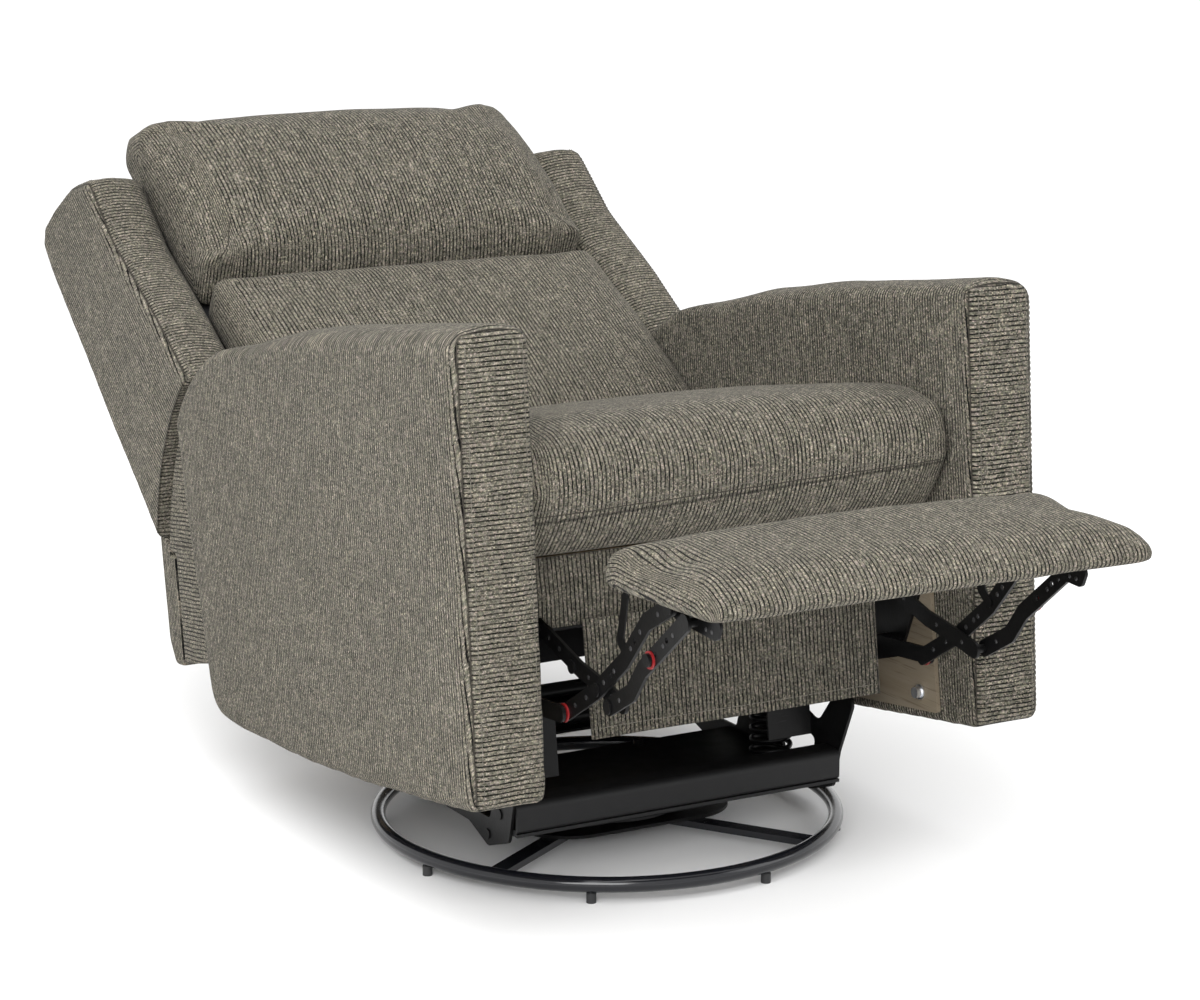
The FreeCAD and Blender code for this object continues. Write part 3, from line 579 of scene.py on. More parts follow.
MAT = {
    "fabric": ribbed_fabric("ribbed_tweed"),
    # a darker copy of the tweed (0.66) for the band and apron under the seat front: painted shade, standing in for the
    # shade there
    "fabric_painted_shade": ribbed_fabric("ribbed_tweed_painted_shade", 0.66),
    "thread": thread("seam_thread", (0.13, 0.12, 0.10)),
    # near-black cords laid in the sewn grooves: painted shade, standing in for the shade inside each seam
    "painted_groove_shade": thread("painted_seam_shade", (0.030, 0.026, 0.020)),
    "lining": thread("black_lining", (0.012, 0.012, 0.013)),
    "satin": powder_black("satin_black_steel", 0.36, 240.0),
    "rough": powder_black("textured_black_steel", 0.50, 420.0, 0.009, 0.24),
    "gloss": gloss_black("gloss_black_steel"),
    "plastic": moulded_black("moulded_black"),
    "red": red_nylon("red_nylon"),
    "zinc": zinc("zinc_plate"),
    "timber": pale_timber("pale_timber"),
    "board": pale_timber("stained_board", (0.36, 0.40, 0.47)),
    "rivet": powder_black("worn_rivet", 0.28, 300.0, 0.022, 0.45),
}


# ------------------------------------------------------------ soft pieces

def set_fab(ob, fn):
    """Weave coordinates: across and along the ribs in metres, on both sides of a seam."""
    P = chair(get_co(ob))
    u1, v1, zone, u2, v2, seed = fn(P)
    me = ob.data
    n = len(P)
    for name, cols in (("fab", (u1, v1, zone)), ("fab2", (u2, v2, None))):
        a = me.attributes.get(name) or me.attributes.new(name, "FLOAT_VECTOR", "POINT")
        arr = np.zeros((n, 3))
        for k, c in enumerate(cols):
            arr[:, k] = seed if c is None else np.asarray(c, float) / 1000.0
        a.data.foreach_set("vector", arr.astype(np.float32).ravel())


def dress(ob, mat, smooth_faces=True):
    ob.data.materials.clear()
    ob.data.materials.append(MAT[mat])
    for p in ob.data.polygons:
        p.use_smooth = smooth_faces


def fabric_piece(ob, body, nodes, fn):
    set_fab(ob, fn)
    dress(ob, "fabric")
    if body:
        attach(ob, body)
    if nodes:
        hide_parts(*nodes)
    return ob


def path_distance(q, path):
    """Distance in mm of points to a 3-D path, all in the level chair frame."""
    best = np.full(len(q), 1e9)
    a, b = path[:-1], path[1:]
    ab = b - a
    l2 = (ab ** 2).sum(1) + 1e-12
    lo, hi = path.min(0) - 20, path.max(0) + 20
    idx = np.nonzero(((q > lo) & (q < hi)).all(1))[0]
    for k in range(0, len(idx), 3000):
        i = idx[k:k + 3000]
        p = q[i]
        t = np.clip(((p[:, None] - a) * ab).sum(2) / l2, 0, 1)
        d2 = ((p[:, None] - (a + t[..., None] * ab)) ** 2).sum(2)
        best[i] = np.sqrt(d2.min(1))
    return best


def sew(ob, paths, depth=2.2, width=3.4, puff=0.7):
    """Pulls the cover in along its seams, with a slight roll beside them."""
    q = chair(get_co(ob))
    d = np.full(len(q), 1e9)
    for p in paths:
        d = np.minimum(d, path_distance(q, resample(np.asarray(p, float), 5.0, closed=False)))
    off = -depth * np.exp(-(d / width) ** 2) + puff * np.exp(-((d - 3.2 * width) / (1.6 * width)) ** 2)
    set_co(ob, get_co(ob) + get_nrm(ob) * (off / 1000.0)[:, None])


def on_surface(ob, path, step):
    """Points and normals of a path laid on a cover, in metres."""
    co = get_co(ob)
    polys = [tuple(p.vertices) for p in ob.data.polygons]
    tree = BVHTree.FromPolygons([tuple(c) for c in co], polys)
    return [on_tree(tree, p, step) for p in path]


def on_tree(tree, path, step):
    pts = resample(np.asarray(path, float), step, closed=False)
    loc, nrm = [], []
    for q in world(pts):
        hit = tree.find_nearest(Vector(q))
        loc.append(hit[0])
        nrm.append(hit[1])
    return np.array(loc, float), np.array(nrm, float)


class Threads:
    """Gathers thin tubes into one mesh."""
    def __init__(self):
        self.v, self.f, self.n = [], [], 0

    def tube(self, pts, nrm, r, sides=6, ends=True):
        pts = np.asarray(pts, float)
        t = np.gradient(pts, axis=0)
        t /= np.linalg.norm(t, axis=1)[:, None] + 1e-12
        nrm = nrm - (nrm * t).sum(1)[:, None] * t
        nrm /= np.linalg.norm(nrm, axis=1)[:, None] + 1e-12
        b = np.cross(t, nrm)
        m = len(pts)
        rad = np.full(m, r)
        if ends:
            rad[0] = rad[-1] = r * 0.35
        for i in range(m):
            for k in range(sides):
                a = 2 * math.pi * k / sides
                self.v.append(pts[i] + rad[i] * (math.cos(a) * nrm[i] + math.sin(a) * b[i]))
        for i in range(m - 1):
            for k in range(sides):
                j = (k + 1) % sides
                o = self.n
                self.f.append((o + i * sides + k, o + i * sides + j, o + (i + 1) * sides + j, o + (i + 1) * sides + k))
        self.f.append(tuple(self.n + k for k in range(sides))[::-1])
        self.f.append(tuple(self.n + (m - 1) * sides + k for k in range(sides)))
        self.n += m * sides

    def line(self, loc, nrm, r, lift):
        self.tube(loc + nrm * lift, nrm, r)

    def stitches(self, loc, nrm, r, lift, length=0.0046, pitch=0.0066):
        d = np.r_[0, np.cumsum(np.linalg.norm(np.diff(loc, axis=0), axis=1))]
        for k in range(int(d[-1] / pitch)):
            s = k * pitch + np.array([0, 0.25, 0.5, 0.75, 1.0]) * length
            if s[-1] > d[-1]:
                break
            p = np.stack([np.interp(s, d, loc[:, i]) for i in range(3)], 1)
            n = np.stack([np.interp(s, d, nrm[:, i]) for i in range(3)], 1)
            hump = np.array([-0.6, 0.35, 0.6, 0.35, -0.6]) * r
            self.tube(p + n * (lift + hump)[:, None], n, r, sides=5, ends=False)

    def make(self, name, body, mat):
        if not self.v:
            return None
        ob = mesh_object(name, np.array(self.v), self.f)
        dress(ob, mat)
        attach(ob, body)
        return ob


def tree_of(ob):
    return BVHTree.FromPolygons([tuple(c) for c in get_co(ob)], [tuple(p.vertices) for p in ob.data.polygons])


# ---- arms ---------------------------------------------------------------
ARM = resample([(60, 656), (-110, 664)] + [tuple(p) for p in fillet([(60, 656), (-110, 664), (-424, 666.5, 24), (-390.3, 129.5, 18), (-60, 128)], 4.0)
               if p[0] < -120 and not (p[1] > 140 and p[0] > -380 and p[1] < 655)] +
               [(-60, 128), (82, 134), (268, 148), (322, 156), (341, 161.5), (356, 174), (363.5, 191), (367, 212)] + arc(320.7, 46, 2, 12), 6.0)


ARM_REAR = np.array([(330, 158), (341, 161.5), (356, 174), (363.5, 191), (367, 212), ph(320.7, 46)], float)


def arm_front(z):
    return -423.0 + (645.0 - z) * (31.5 / 497.0)


def arm_fab(P):
    a, y, z = np.abs(P[:, 0]), P[:, 1], P[:, 2]
    d = y - arm_front(z)
    zone = (np.minimum(np.minimum(385.0 - a, a - 283.5), 666.5 - z) - d) / 1.414
    behind, _ = near(P[:, 1:], ARM_REAR, closed=False)
    zone = np.maximum(zone, (np.minimum(385.0 - a, a - 283.5) - behind) / 1.414)
    side = np.sign(P[:, 0])
    return y, z - (385.0 - a), zone, z + 3.0, a * side, 0.31 + 0.2 * side


def make_arm(side):
    name = "arm_left" if side < 0 else "arm_right"
    n = normals2(ARM)
    top, lead = np.clip(n[:, 1], 0, 1) ** 2, np.clip(-n[:, 0], 0, 1) ** 1.5
    near_wing = (np.abs(np.linalg.norm(ARM - np.array(HINGE), axis=1) - 320.7) < 1.5) & (ARM[:, 0] > 215)
    blend = np.convolve(np.r_[near_wing, near_wing, near_wing].astype(float), np.ones(13) / 13, "same")[len(ARM):2 * len(ARM)]
    r_out = (9.0 + 19.0 * top + 9.0 * lead) * (1 - blend) + 4.0 * blend
    r_in = (6.0 + 13.0 * top + 1.0 * lead) * (1 - blend) + 4.0 * blend
    crown = (3.5 * top + 1.5 * lead) * (1 - blend)
    V, F = loft(ARM, rounded(290.0, 385.0, r_in, r_out, crown))
    V[:, 0] *= side
    if side < 0:
        F = [f[::-1] for f in F]
    ob = mesh_object(name + "_cover", world(V), F)
    remesh(ob, 0.0055)
    smooth(ob, 4, 0.5)
    co = get_co(ob)
    P = chair(co)
    dep, _ = near(P[:, 1:], ARM)
    # padded outer side: a little fuller towards its middle
    full = np.clip((np.abs(P[:, 0]) - 375.0) / 10.0, 0, 1) * (1 - np.exp(-np.clip(dep, 0, None) / 60.0)) * 2.6
    inner = np.abs(P[:, 0]) < 296.0
    amp = np.where(inner, 0.15, 0.7)
    set_co(ob, co + get_nrm(ob) * ((full + amp * wobble(co, 0.16)) / 1000.0)[:, None])
    zs = np.linspace(136, 652, 60)
    out = [(side * 380.0, arm_front(z) + 5.0, z) for z in zs]
    inn = [(side * 291.5, arm_front(z) + 8.0, z) for z in zs]
    top = [(side * a, -417.0, 660.5 + 3.5 * math.sin(math.pi * (a - 291.5) / 93.5)) for a in np.linspace(298, 377, 16)]
    sew(ob, [out, inn, top], 2.4, 3.6, 0.8)
    fabric_piece(ob, "chassis", [name], arm_fab)
    tree = tree_of(ob)
    dark, st = Threads(), Threads()
    # dark cords sunk into the sewn grooves: painted shade along the seams
    for p in (out, inn, top):
        loc, nr = on_tree(tree, p, 5.0)
        dark.line(loc, nr, 0.0008, -0.0003)
    for off_x, off_y in ((0.0, 13.0),):
        p = [(side * 385.0, arm_front(z) + off_y, z) for z in zs]
        loc, nr = on_tree(tree, p, 5.0)
        st.stitches(loc, nr, 0.00045, 0.0002)
    p = [(side * 371.0, arm_front(z), z) for z in zs]
    loc, nr = on_tree(tree, p, 5.0)
    st.stitches(loc, nr, 0.00045, 0.0002)
    p = [(side * 301.0, arm_front(z), z) for z in zs]
    loc, nr = on_tree(tree, p, 5.0)
    st.stitches(loc, nr, 0.00045, 0.0002)
    p = [(side * 291.5, arm_front(z) + 16.0, z) for z in zs]
    loc, nr = on_tree(tree, p, 5.0)
    st.stitches(loc, nr, 0.00045, 0.0002)
    dark.make(name + "_seam_shade_cords", "chassis", "painted_groove_shade")
    st.make(name + "_stitching", "chassis", "thread")


# ---- wings --------------------------------------------------------------
WING = fillet([(838, 736, 30), (864, 776, 22), (848, 806, 20), (800, 830, 40), (741, 853, 60), (668, 862, 16), (590, 776), (464, 683)]
              + arc(326.8, 32.5, 80, 14), 6.0)
WING_FRONT = np.array([(358.2, 593.9), (464, 683), (590, 776), (666, 861), (741, 853), (800, 830), (848, 806)], float)
W1 = np.array([0.72, 0.694])
W2 = np.array([-0.694, 0.72])


def wing_fab(P):
    a, yz = np.abs(P[:, 0]), P[:, 1:]
    d, s = near(yz, WING)
    zone = (np.minimum(385.0 - a, a - 284.0) - np.clip(d, 0, None)) / 1.414
    side = np.sign(P[:, 0])
    return yz @ W2, yz @ W1, zone, s, a * side, 0.63 + 0.2 * side


def make_wing(side):
    name = "wing_left" if side < 0 else "wing_right"
    n = normals2(WING)
    face = np.clip(n @ W2, 0, 1) ** 1.2
    low = np.linalg.norm(WING - np.array(HINGE), axis=1) < 331.8
    r_out = 9.0 + 6.0 * face
    r_in = 8.0 + 34.0 * face
    r_out[low], r_in[low] = 4.0, 4.0
    V, F = loft(WING, rounded(291.5, 385.0, r_in, r_out, 3.0 * face))
    V[:, 0] *= side
    if side < 0:
        F = [f[::-1] for f in F]
    ob = mesh_object(name + "_cover", world(V), F)
    remesh(ob, 0.0055)
    smooth(ob, 4, 0.5)
    co = get_co(ob)
    P = chair(co)
    dep, _ = near(P[:, 1:], WING)
    full = np.clip((np.abs(P[:, 0]) - 375.0) / 10.0, 0, 1) * (1 - np.exp(-np.clip(dep, 0, None) / 45.0)) * 2.0
    clear = np.clip((np.linalg.norm(P[:, 1:] - np.array(HINGE), axis=1) - 329.8) / 12.0, 0, 1)
    inner = np.abs(P[:, 0]) < 297.0
    set_co(ob, co + get_nrm(ob) * ((full + np.where(inner, 0.1, 0.7) * wobble(co, 0.15)) * clear / 1000.0)[:, None])
    chain = resample(WING_FRONT, 8.0, closed=False)
    t = np.gradient(chain, axis=0)
    t /= np.linalg.norm(t, axis=1)[:, None]
    inw = np.stack([t[:, 1], -t[:, 0]], 1)
    keep = np.linalg.norm(chain - np.array(HINGE), axis=1) > 334.0
    edge = [(side * 381.0, *(c + 4.0 * w)) for c, w, k in zip(chain, inw, keep) if k]
    back = [(side * 379.0, *p) for p in resample([(512, 378), (838, 736), (862, 774)], 8.0, closed=False) if math.hypot(p[0] - HINGE[0], p[1] - HINGE[1]) > 336]
    sew(ob, [edge, back], 2.2, 3.4, 0.8)
    # the lower edge stays clear of the arm as the back comes up
    P = chair(get_co(ob))
    away = P[:, 1:] - np.array(HINGE)
    P[:, 1:] = np.array(HINGE) + away * np.maximum(326.3 / np.linalg.norm(away, axis=1), 1.0)[:, None]
    set_co(ob, world(P))
    fabric_piece(ob, "backrest", [name], wing_fab)
    tree = tree_of(ob)
    dark, st = Threads(), Threads()
    # dark cords sunk into the sewn grooves: painted shade along the seams
    for p in (edge, back):
        loc, nr = on_tree(tree, p, 5.0)
        dark.line(loc, nr, 0.0008, -0.0003)
    for dx, dd in ((385.0, 13.0), (385.0, 21.0), (371.0, 0.0)):
        p = [(side * dx, *(c + dd * w)) for c, w, k in zip(chain, inw, keep) if k]
        loc, nr = on_tree(tree, p, 5.0)
        st.stitches(loc, nr, 0.00045, 0.0002)
    dark.make(name + "_seam_shade_cords", "backrest", "painted_groove_shade")
    st.make(name + "_stitching", "backrest", "thread")


# ---- cushions -----------------------------------------------------------
def wrap_fab(poly, seed, turn, zone=None):
    def fn(P):
        dep, s = near(P[:, 1:], poly)
        w = np.clip((np.abs(P[:, 0]) - turn) / 18.0, 0, 1)
        u = P[:, 0] + np.sign(P[:, 0]) * np.clip(dep, 0, None) * w
        z = np.full(len(P), -100.0) if zone is None else zone(P)
        return u, s, z, u, s + 37.0, seed
    return fn


def cushion(name, outline, half, r_edge, inset, crown, voxel, pins, cap, pressure, clamp, body, fab, seams=(), front_r=None, groove=(2.4, 4.0, 0.8), bend=0.6):
    poly = fillet(outline, 6.0)
    V, F = loft(poly, rounded(-half, half, r_edge(poly), r_edge(poly), crown(poly), inset, mid=16))
    ob = mesh_object(name + "_cover", world(V), F)
    remesh(ob, voxel)
    smooth(ob, 6, 0.5)
    P = chair(get_co(ob))
    pinned = pins(P)
    inflate(ob, pinned, cap, pressure, bend=bend)
    smooth(ob, 5, 0.5)
    P = chair(get_co(ob))
    set_co(ob, world(clamp(P)))
    subdivide(ob)
    co = get_co(ob)
    set_co(ob, co + get_nrm(ob) * (0.5 * wobble(co, 0.11) / 1000.0)[:, None])
    if len(seams):
        sew(ob, seams, *groove)
    fabric_piece(ob, body, [name], fab)
    return ob


def seam_shade_and_stitches(ob, name, body, paths, stitched=(), r=0.0008):
    tree = tree_of(ob)
    dark, st = Threads(), Threads()
    # dark cords sunk into the sewn grooves are painted shade; the stitches below are real thread
    for p in paths:
        loc, nr = on_tree(tree, p, 4.0)
        dark.line(loc, nr, r, -0.0003)
    for p in stitched:
        loc, nr = on_tree(tree, p, 4.0)
        st.stitches(loc, nr, 0.00045, 0.0002)
    dark.make(name + "_seam_shade_cords", body, "painted_groove_shade")
    st.make(name + "_stitching", body, "thread")


SEAT_PTS = [(-297, 396, 5), (-319, 384, 12), (-362, 430, 26), (-384, 466, 30), (-374, 531, 40), (-290, 552, 60), (0, 540, 60), (46, 520, 30), (46, 396, 20)]
SEAT = fillet(SEAT_PTS, 6.0)


def make_seat():
    def r_edge(poly):
        n = normals2(poly)
        return 5.0 + np.clip(np.maximum(5.0 * n[:, 1], -5.0 * n[:, 0]), 0, 5)

    def crown(poly):
        n = normals2(poly)
        return 1.5 * np.clip(np.maximum(n[:, 1], -n[:, 0] * 0.9), 0, 1)

    seam = [(x, -374.0 - 10.0 * math.cos(x / 286.0 * 1.5), 444.0 + 0.029 * x) for x in np.linspace(-276, 276, 80)]

    def pins(P):
        d = path_distance(P, np.array(seam))
        return ((P[:, 2] < 404) & (P[:, 1] > -340)) | (P[:, 1] > 34) | (d < 7.0) | (np.abs(P[:, 0]) > 281.0)

    def clamp(P):
        P[:, 0] = np.clip(P[:, 0], -289.5, 289.5)
        P[:, 1] = np.minimum(P[:, 1], 47.0)
        P[:, 2] = np.maximum(P[:, 2], np.where(P[:, 1] > -300, 394.5, 381.0))
        return P

    def zone(P):
        return np.where(P[:, 1] < -290, 444.0 + 0.029 * P[:, 0] - P[:, 2], -100.0)

    ob = cushion("seat_cushion", SEAT_PTS, 288.0, r_edge, 5.0, crown, 0.0075, pins, 0.011, 4.0, clamp, "chassis", wrap_fab(SEAT, 0.17, 248.0, zone), [seam])
    seam_shade_and_stitches(ob, "seat_cushion", "chassis", [seam], [[(x, y - 2, z + 8.0) for x, y, z in seam]])


LUMBAR_PTS = [(482, 735, 16), (350, 644), (250, 570), (203, 529), (166, 497, 16), (214, 430, 16), (537, 661, 10)]
LUMBAR = fillet(LUMBAR_PTS, 6.0)
B1 = np.array([0.80, 0.60])
B2 = np.array([-0.60, 0.80])


def make_lumbar():
    def r_edge(poly):
        n = normals2(poly)
        return 8.0 + 14.0 * np.clip(n @ B2, 0, 1)

    def crown(poly):
        n = normals2(poly)
        return 3.0 * np.clip(n @ B2, 0, 1)

    def pins(P):
        h = P[:, 1:] @ B2
        return (h < np.array([525, 652]) @ B2 + 10.0) | (P[:, 1] > 516) | (np.abs(P[:, 0]) > 283.0)

    def clamp(P):
        P[:, 0] = np.clip(P[:, 0], -290.5, 290.5)
        return P

    cushion("lumbar_cushion", LUMBAR_PTS, 289.5, r_edge, 6.0, crown, 0.0075, pins, 0.018, 4.0, clamp, "backrest", wrap_fab(LUMBAR, 0.44, 268.0))


HEAD_PTS = [(498, 724, 8), (474, 751, 30), (540, 833), (594, 881), (651, 922), (704, 953, 32), (768, 930, 30), (795, 874, 16), (595, 702, 10), (534, 662, 8)]
HEAD = fillet(HEAD_PTS, 6.0)


def make_head():
    def r_edge(poly):
        n = normals2(poly)
        return 10.0 + 42.0 * np.clip(n @ B2, 0, 1)

    def crown(poly):
        n = normals2(poly)
        return 4.0 * np.clip(n @ B2, 0, 1)

    rear = np.array([595, 702]) @ B2

    def pins(P):
        return (P[:, 1:] @ B2 < rear + 22.0) | (np.abs(P[:, 0]) > 284.0)

    def clamp(P):
        P[:, 0] = np.clip(P[:, 0], -290.5, 290.5)
        return P

    mitres = [[(s * 236.0, 520.0, 800.0), (s * 252.0, 500.0, 775.0), (s * 266.0, 484.0, 752.0), (s * 272.0, 488.0, 735.0)] for s in (-1, 1)]
    ob = cushion("headrest_cushion", HEAD_PTS, 289.5, r_edge, 7.0, crown, 0.0075, pins, 0.020, 4.0, clamp, "backrest", wrap_fab(HEAD, 0.58, 236.0), mitres, groove=(2.0, 4.0, 0.6))
    seam_shade_and_stitches(ob, "headrest_cushion", "backrest", mitres)


PAD_PTS = [(-528, 378.5, 8), (-530, 427, 14), (-562, 434, 20), (-663, 415, 60), (-728, 401, 30), (-760, 381, 16), (-760, 354.0, 8)]
PAD = fillet(PAD_PTS, 5.0)


PAD_TOP = np.array([(-760, 381), (-728, 401), (-663, 415), (-562, 434), (-528, 427)], float)


def pad_fab(P):
    dep, s = near(P[:, 1:], PAD)
    drop = np.clip(np.interp(P[:, 1], PAD_TOP[:, 0], PAD_TOP[:, 1]) - P[:, 2], 0, None)
    w = np.clip((np.abs(P[:, 0]) - 270.0) / 10.0, 0, 1)
    u = P[:, 0] + np.sign(P[:, 0]) * drop * w
    v = s * (1 - w) + (-1.0) * P[:, 1] * w
    return u, np.where(w > 0.5, -P[:, 1], s), np.full(len(P), -100.0), u, v, 0.81


def make_pad():
    def r_edge(poly):
        n = normals2(poly)
        return 4.0 + 12.0 * np.clip(np.maximum(n[:, 1] * 0.8, -n[:, 0]), 0, 1)

    def crown(poly):
        n = normals2(poly)
        return 4.0 * np.clip(n[:, 1], 0, 1)

    def pins(P):
        return P[:, 2] < 378.5 - (-528 - P[:, 1]) * 0.1054 + 14.0

    def clamp(P):
        P[:, 0] = np.clip(P[:, 0], -287.0, 287.0)
        return P

    cushion("footrest_pad", PAD_PTS, 286.0, r_edge, 2.0, crown, 0.0065, pins, 0.010, 4.0, clamp, "footrest", pad_fab)


# ---- covered panels -----------------------------------------------------
def plane_fab(fu, fv, seed):
    def fn(P):
        u, v = fu(P), fv(P)
        return u, v, np.full(len(P), -100.0), u, v, seed
    return fn


def panel(name, nodes, body, outline, x0, x1, r, crown, fab, mid=40, side=1, poly=None, steps=5):
    poly = fillet(outline, 6.0) if poly is None else poly
    V, F = loft(poly, rounded(x0, x1, r, r, crown(poly), mid=mid, steps=steps))
    V[:, 0] *= side
    if side < 0:
        F = [f[::-1] for f in F]
    ob = mesh_object(name, world(V), F)
    co = get_co(ob)
    set_co(ob, co + get_nrm(ob) * (0.5 * wobble(co, 0.14) / 1000.0)[:, None])
    return fabric_piece(ob, body, nodes, fab)


def make_panels():
    flat = lambda poly: np.zeros(len(poly))
    panel("rear_panel_cover", ["rear_panel"], "chassis", [(479, 356, 4), (496, 356, 2), (498, 371, 2), (506, 374, 2), (531, 394, 4), (529, 240, 40), (512, 208, 14), (479, 208, 6)], -372, 372, 4.0,
          lambda p: 3.0 * np.clip(normals2(p)[:, 0], 0, 1), plane_fab(lambda P: P[:, 0] + np.sign(P[:, 0]) * (529 - P[:, 1]) * (np.abs(P[:, 0]) > 364), lambda P: P[:, 2], 0.12))
    outline = resample([ph(318.5, 46.4 + (82 - 46.4) * i / 14) for i in range(15)] + [(477, 357), (477, 212), (374, 222)], 6.0)
    for s, tag in ((-1, "left"), (1, "right")):
        ob = panel("rear_side_panel_%s" % tag, ["rear_side_panels"], "chassis", None, 322, 372, 4.0, flat,
                   plane_fab(lambda P: P[:, 2], lambda P: P[:, 1] + P[:, 0], 0.91), mid=4, side=s, poly=outline)
        hem = [(s * 372.0, y, 371.0) for y in np.linspace(405, 474, 14)]
        # the hem gets a thicker dark cord, painted shade along it, with real stitching above
        seam_shade_and_stitches(ob, "rear_side_panel_%s" % tag, "chassis", [hem], [[(x, y, 379.0) for x, y, z in hem]], r=0.0012)
    outer = fillet([ph(326, 80), ph(255.5, 80), (431, 380, 3), (488, 392, 6), (812, 741, 20), (832, 768, 10), (852, 752, 14), (838, 736, 20)], 6.0)
    ob = panel("back_outer_cover", ["back_outer_panel"], "backrest", None, -288.5, 288.5, 3.0,
               lambda p: 5.0 * np.clip(normals2(p) @ np.array([0.733, -0.68]), 0, 1), plane_fab(lambda P: P[:, 0], lambda P: P[:, 1:] @ W1, 0.27), mid=50, poly=outer)
    seam_shade_and_stitches(ob, "back_outer", "backrest", [], [[(x, 509 + 0.928 * k, 381.5 + k) for x in np.linspace(-286, 286, 40)] for k in (10.0,)])
    low = np.array([ph(290, f) for f in np.linspace(80.2, 110, 16)] + [ph(256, f) for f in np.linspace(110, 80.2, 16)])
    panel("back_lower_cover", ["back_lower_panel"], "backrest", None, -286, 286, 2.0, flat,
          plane_fab(lambda P: P[:, 0], lambda P: P[:, 2], 0.36), mid=40, poly=resample(low, 6.0))


def sheet_piece(name, grid, thick, fab, nodes, body, mat="fabric"):
    """A cloth panel from a grid of points (rows, columns, 3) in the level frame, with a little thickness."""
    R, C = grid.shape[:2]
    q = world(grid.reshape(-1, 3))
    du = np.gradient(q.reshape(R, C, 3), axis=1)
    dv = np.gradient(q.reshape(R, C, 3), axis=0)
    n = np.cross(du, dv).reshape(-1, 3)
    n /= np.linalg.norm(n, axis=1)[:, None] + 1e-12
    V = np.vstack([q + n * thick / 2, q - n * thick / 2])
    N, F = R * C, []
    for i in range(R - 1):
        for j in range(C - 1):
            a, b, c, d = i * C + j, i * C + j + 1, (i + 1) * C + j + 1, (i + 1) * C + j
            F += [(a, b, c, d), (N + d, N + c, N + b, N + a)]
    rim = [j for j in range(C)] + [i * C + C - 1 for i in range(1, R)] + [(R - 1) * C + j for j in range(C - 2, -1, -1)] + [i * C for i in range(R - 2, 0, -1)]
    for k in range(len(rim)):
        a, b = rim[k], rim[(k + 1) % len(rim)]
        F.append((b, a, N + a, N + b))
    ob = mesh_object(name, V, F)
    set_fab(ob, fab)
    dress(ob, mat)
    if body:
        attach(ob, body)
    if nodes:
        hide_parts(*nodes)
    return ob


def make_front():
    # fabric band under the seat front
    xs = np.linspace(-283.5, 283.5, 90)
    zs = np.linspace(0, 1, 16)
    low = 327.0 - 15.0 / (1 + np.exp((np.abs(xs) - 240.0) / 2.5))
    G = np.empty((len(zs), len(xs), 3))
    for i, t in enumerate(zs):
        z = low + (393.0 - low) * t
        G[i] = np.stack([xs, -311.0 - 2.0 * np.sin(t * math.pi) + 0.6 * np.sin(xs / 31.0 + 3 * t), z], 1)
    # the band uses the darker copy of the tweed: painted shade under the seat front
    ob = sheet_piece("seat_front_band_cover", G[::-1], 0.004, plane_fab(lambda P: P[:, 0], lambda P: P[:, 2], 0.22), ["seat_front_band"], "chassis", "fabric_painted_shade")
    # hanging apron in front of the mechanism
    xs = np.linspace(-197, 197, 70)
    zs = np.linspace(180, 318, 26)
    G = np.empty((len(zs), len(xs), 3))
    for i, z in enumerate(zs):
        f = (318.0 - z) / 138.0
        y = -321.0 - 1.6 * f * np.sin(xs / 52.0 + 0.7) - 2.6 * f ** 2 * (np.abs(xs) / 197.0) ** 4
        G[i] = np.stack([xs * (1 - 0.004 * f), y, np.full(len(xs), z)], 1)
    # the apron uses the darker copy of the tweed: painted shade, as it hangs in shade below the seat
    ob = sheet_piece("front_apron_cover", G[::-1], 0.0045, plane_fab(lambda P: P[:, 0], lambda P: P[:, 2], 0.71), ["front_apron"], "chassis", "fabric_painted_shade")
    hem = [[(x, -330.0, 192.0) for x in np.linspace(-194, 194, 60)]]
    seam_shade_and_stitches(ob, "front_apron", "chassis", [], hem + [[(s * 190.0, -330.0, z) for z in np.linspace(184, 316, 30)] for s in (-1, 1)])


def make_flap():
    # cloth that closes the gap between the seat's rear edge and the back cushion
    line = resample([(40, 516), (52, 496), (58, 468), (68, 442), (98, 428), (150, 426), (192, 432), (216, 438)], 9.0, closed=False)
    xs = np.linspace(-283, 283, 70)
    G = np.empty((len(line), len(xs), 3))
    for i, (y, z) in enumerate(line):
        f = i / (len(line) - 1)
        sag = 5.0 * math.sin(math.pi * f)
        G[i] = np.stack([xs, np.full(len(xs), y), z - sag * np.cos(xs / 283.0 * 1.45) + 1.2 * math.sin(math.pi * f) * np.sin(xs / 23.0)], 1)
    ob = sheet_piece("seat_back_flap", G[:, ::-1], 0.003, plane_fab(lambda P: P[:, 0], lambda P: P[:, 1] - P[:, 2], 0.39), None, None)
    a, b = world([(0, 62, 440), (0, 190, 440)])
    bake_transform(ob)


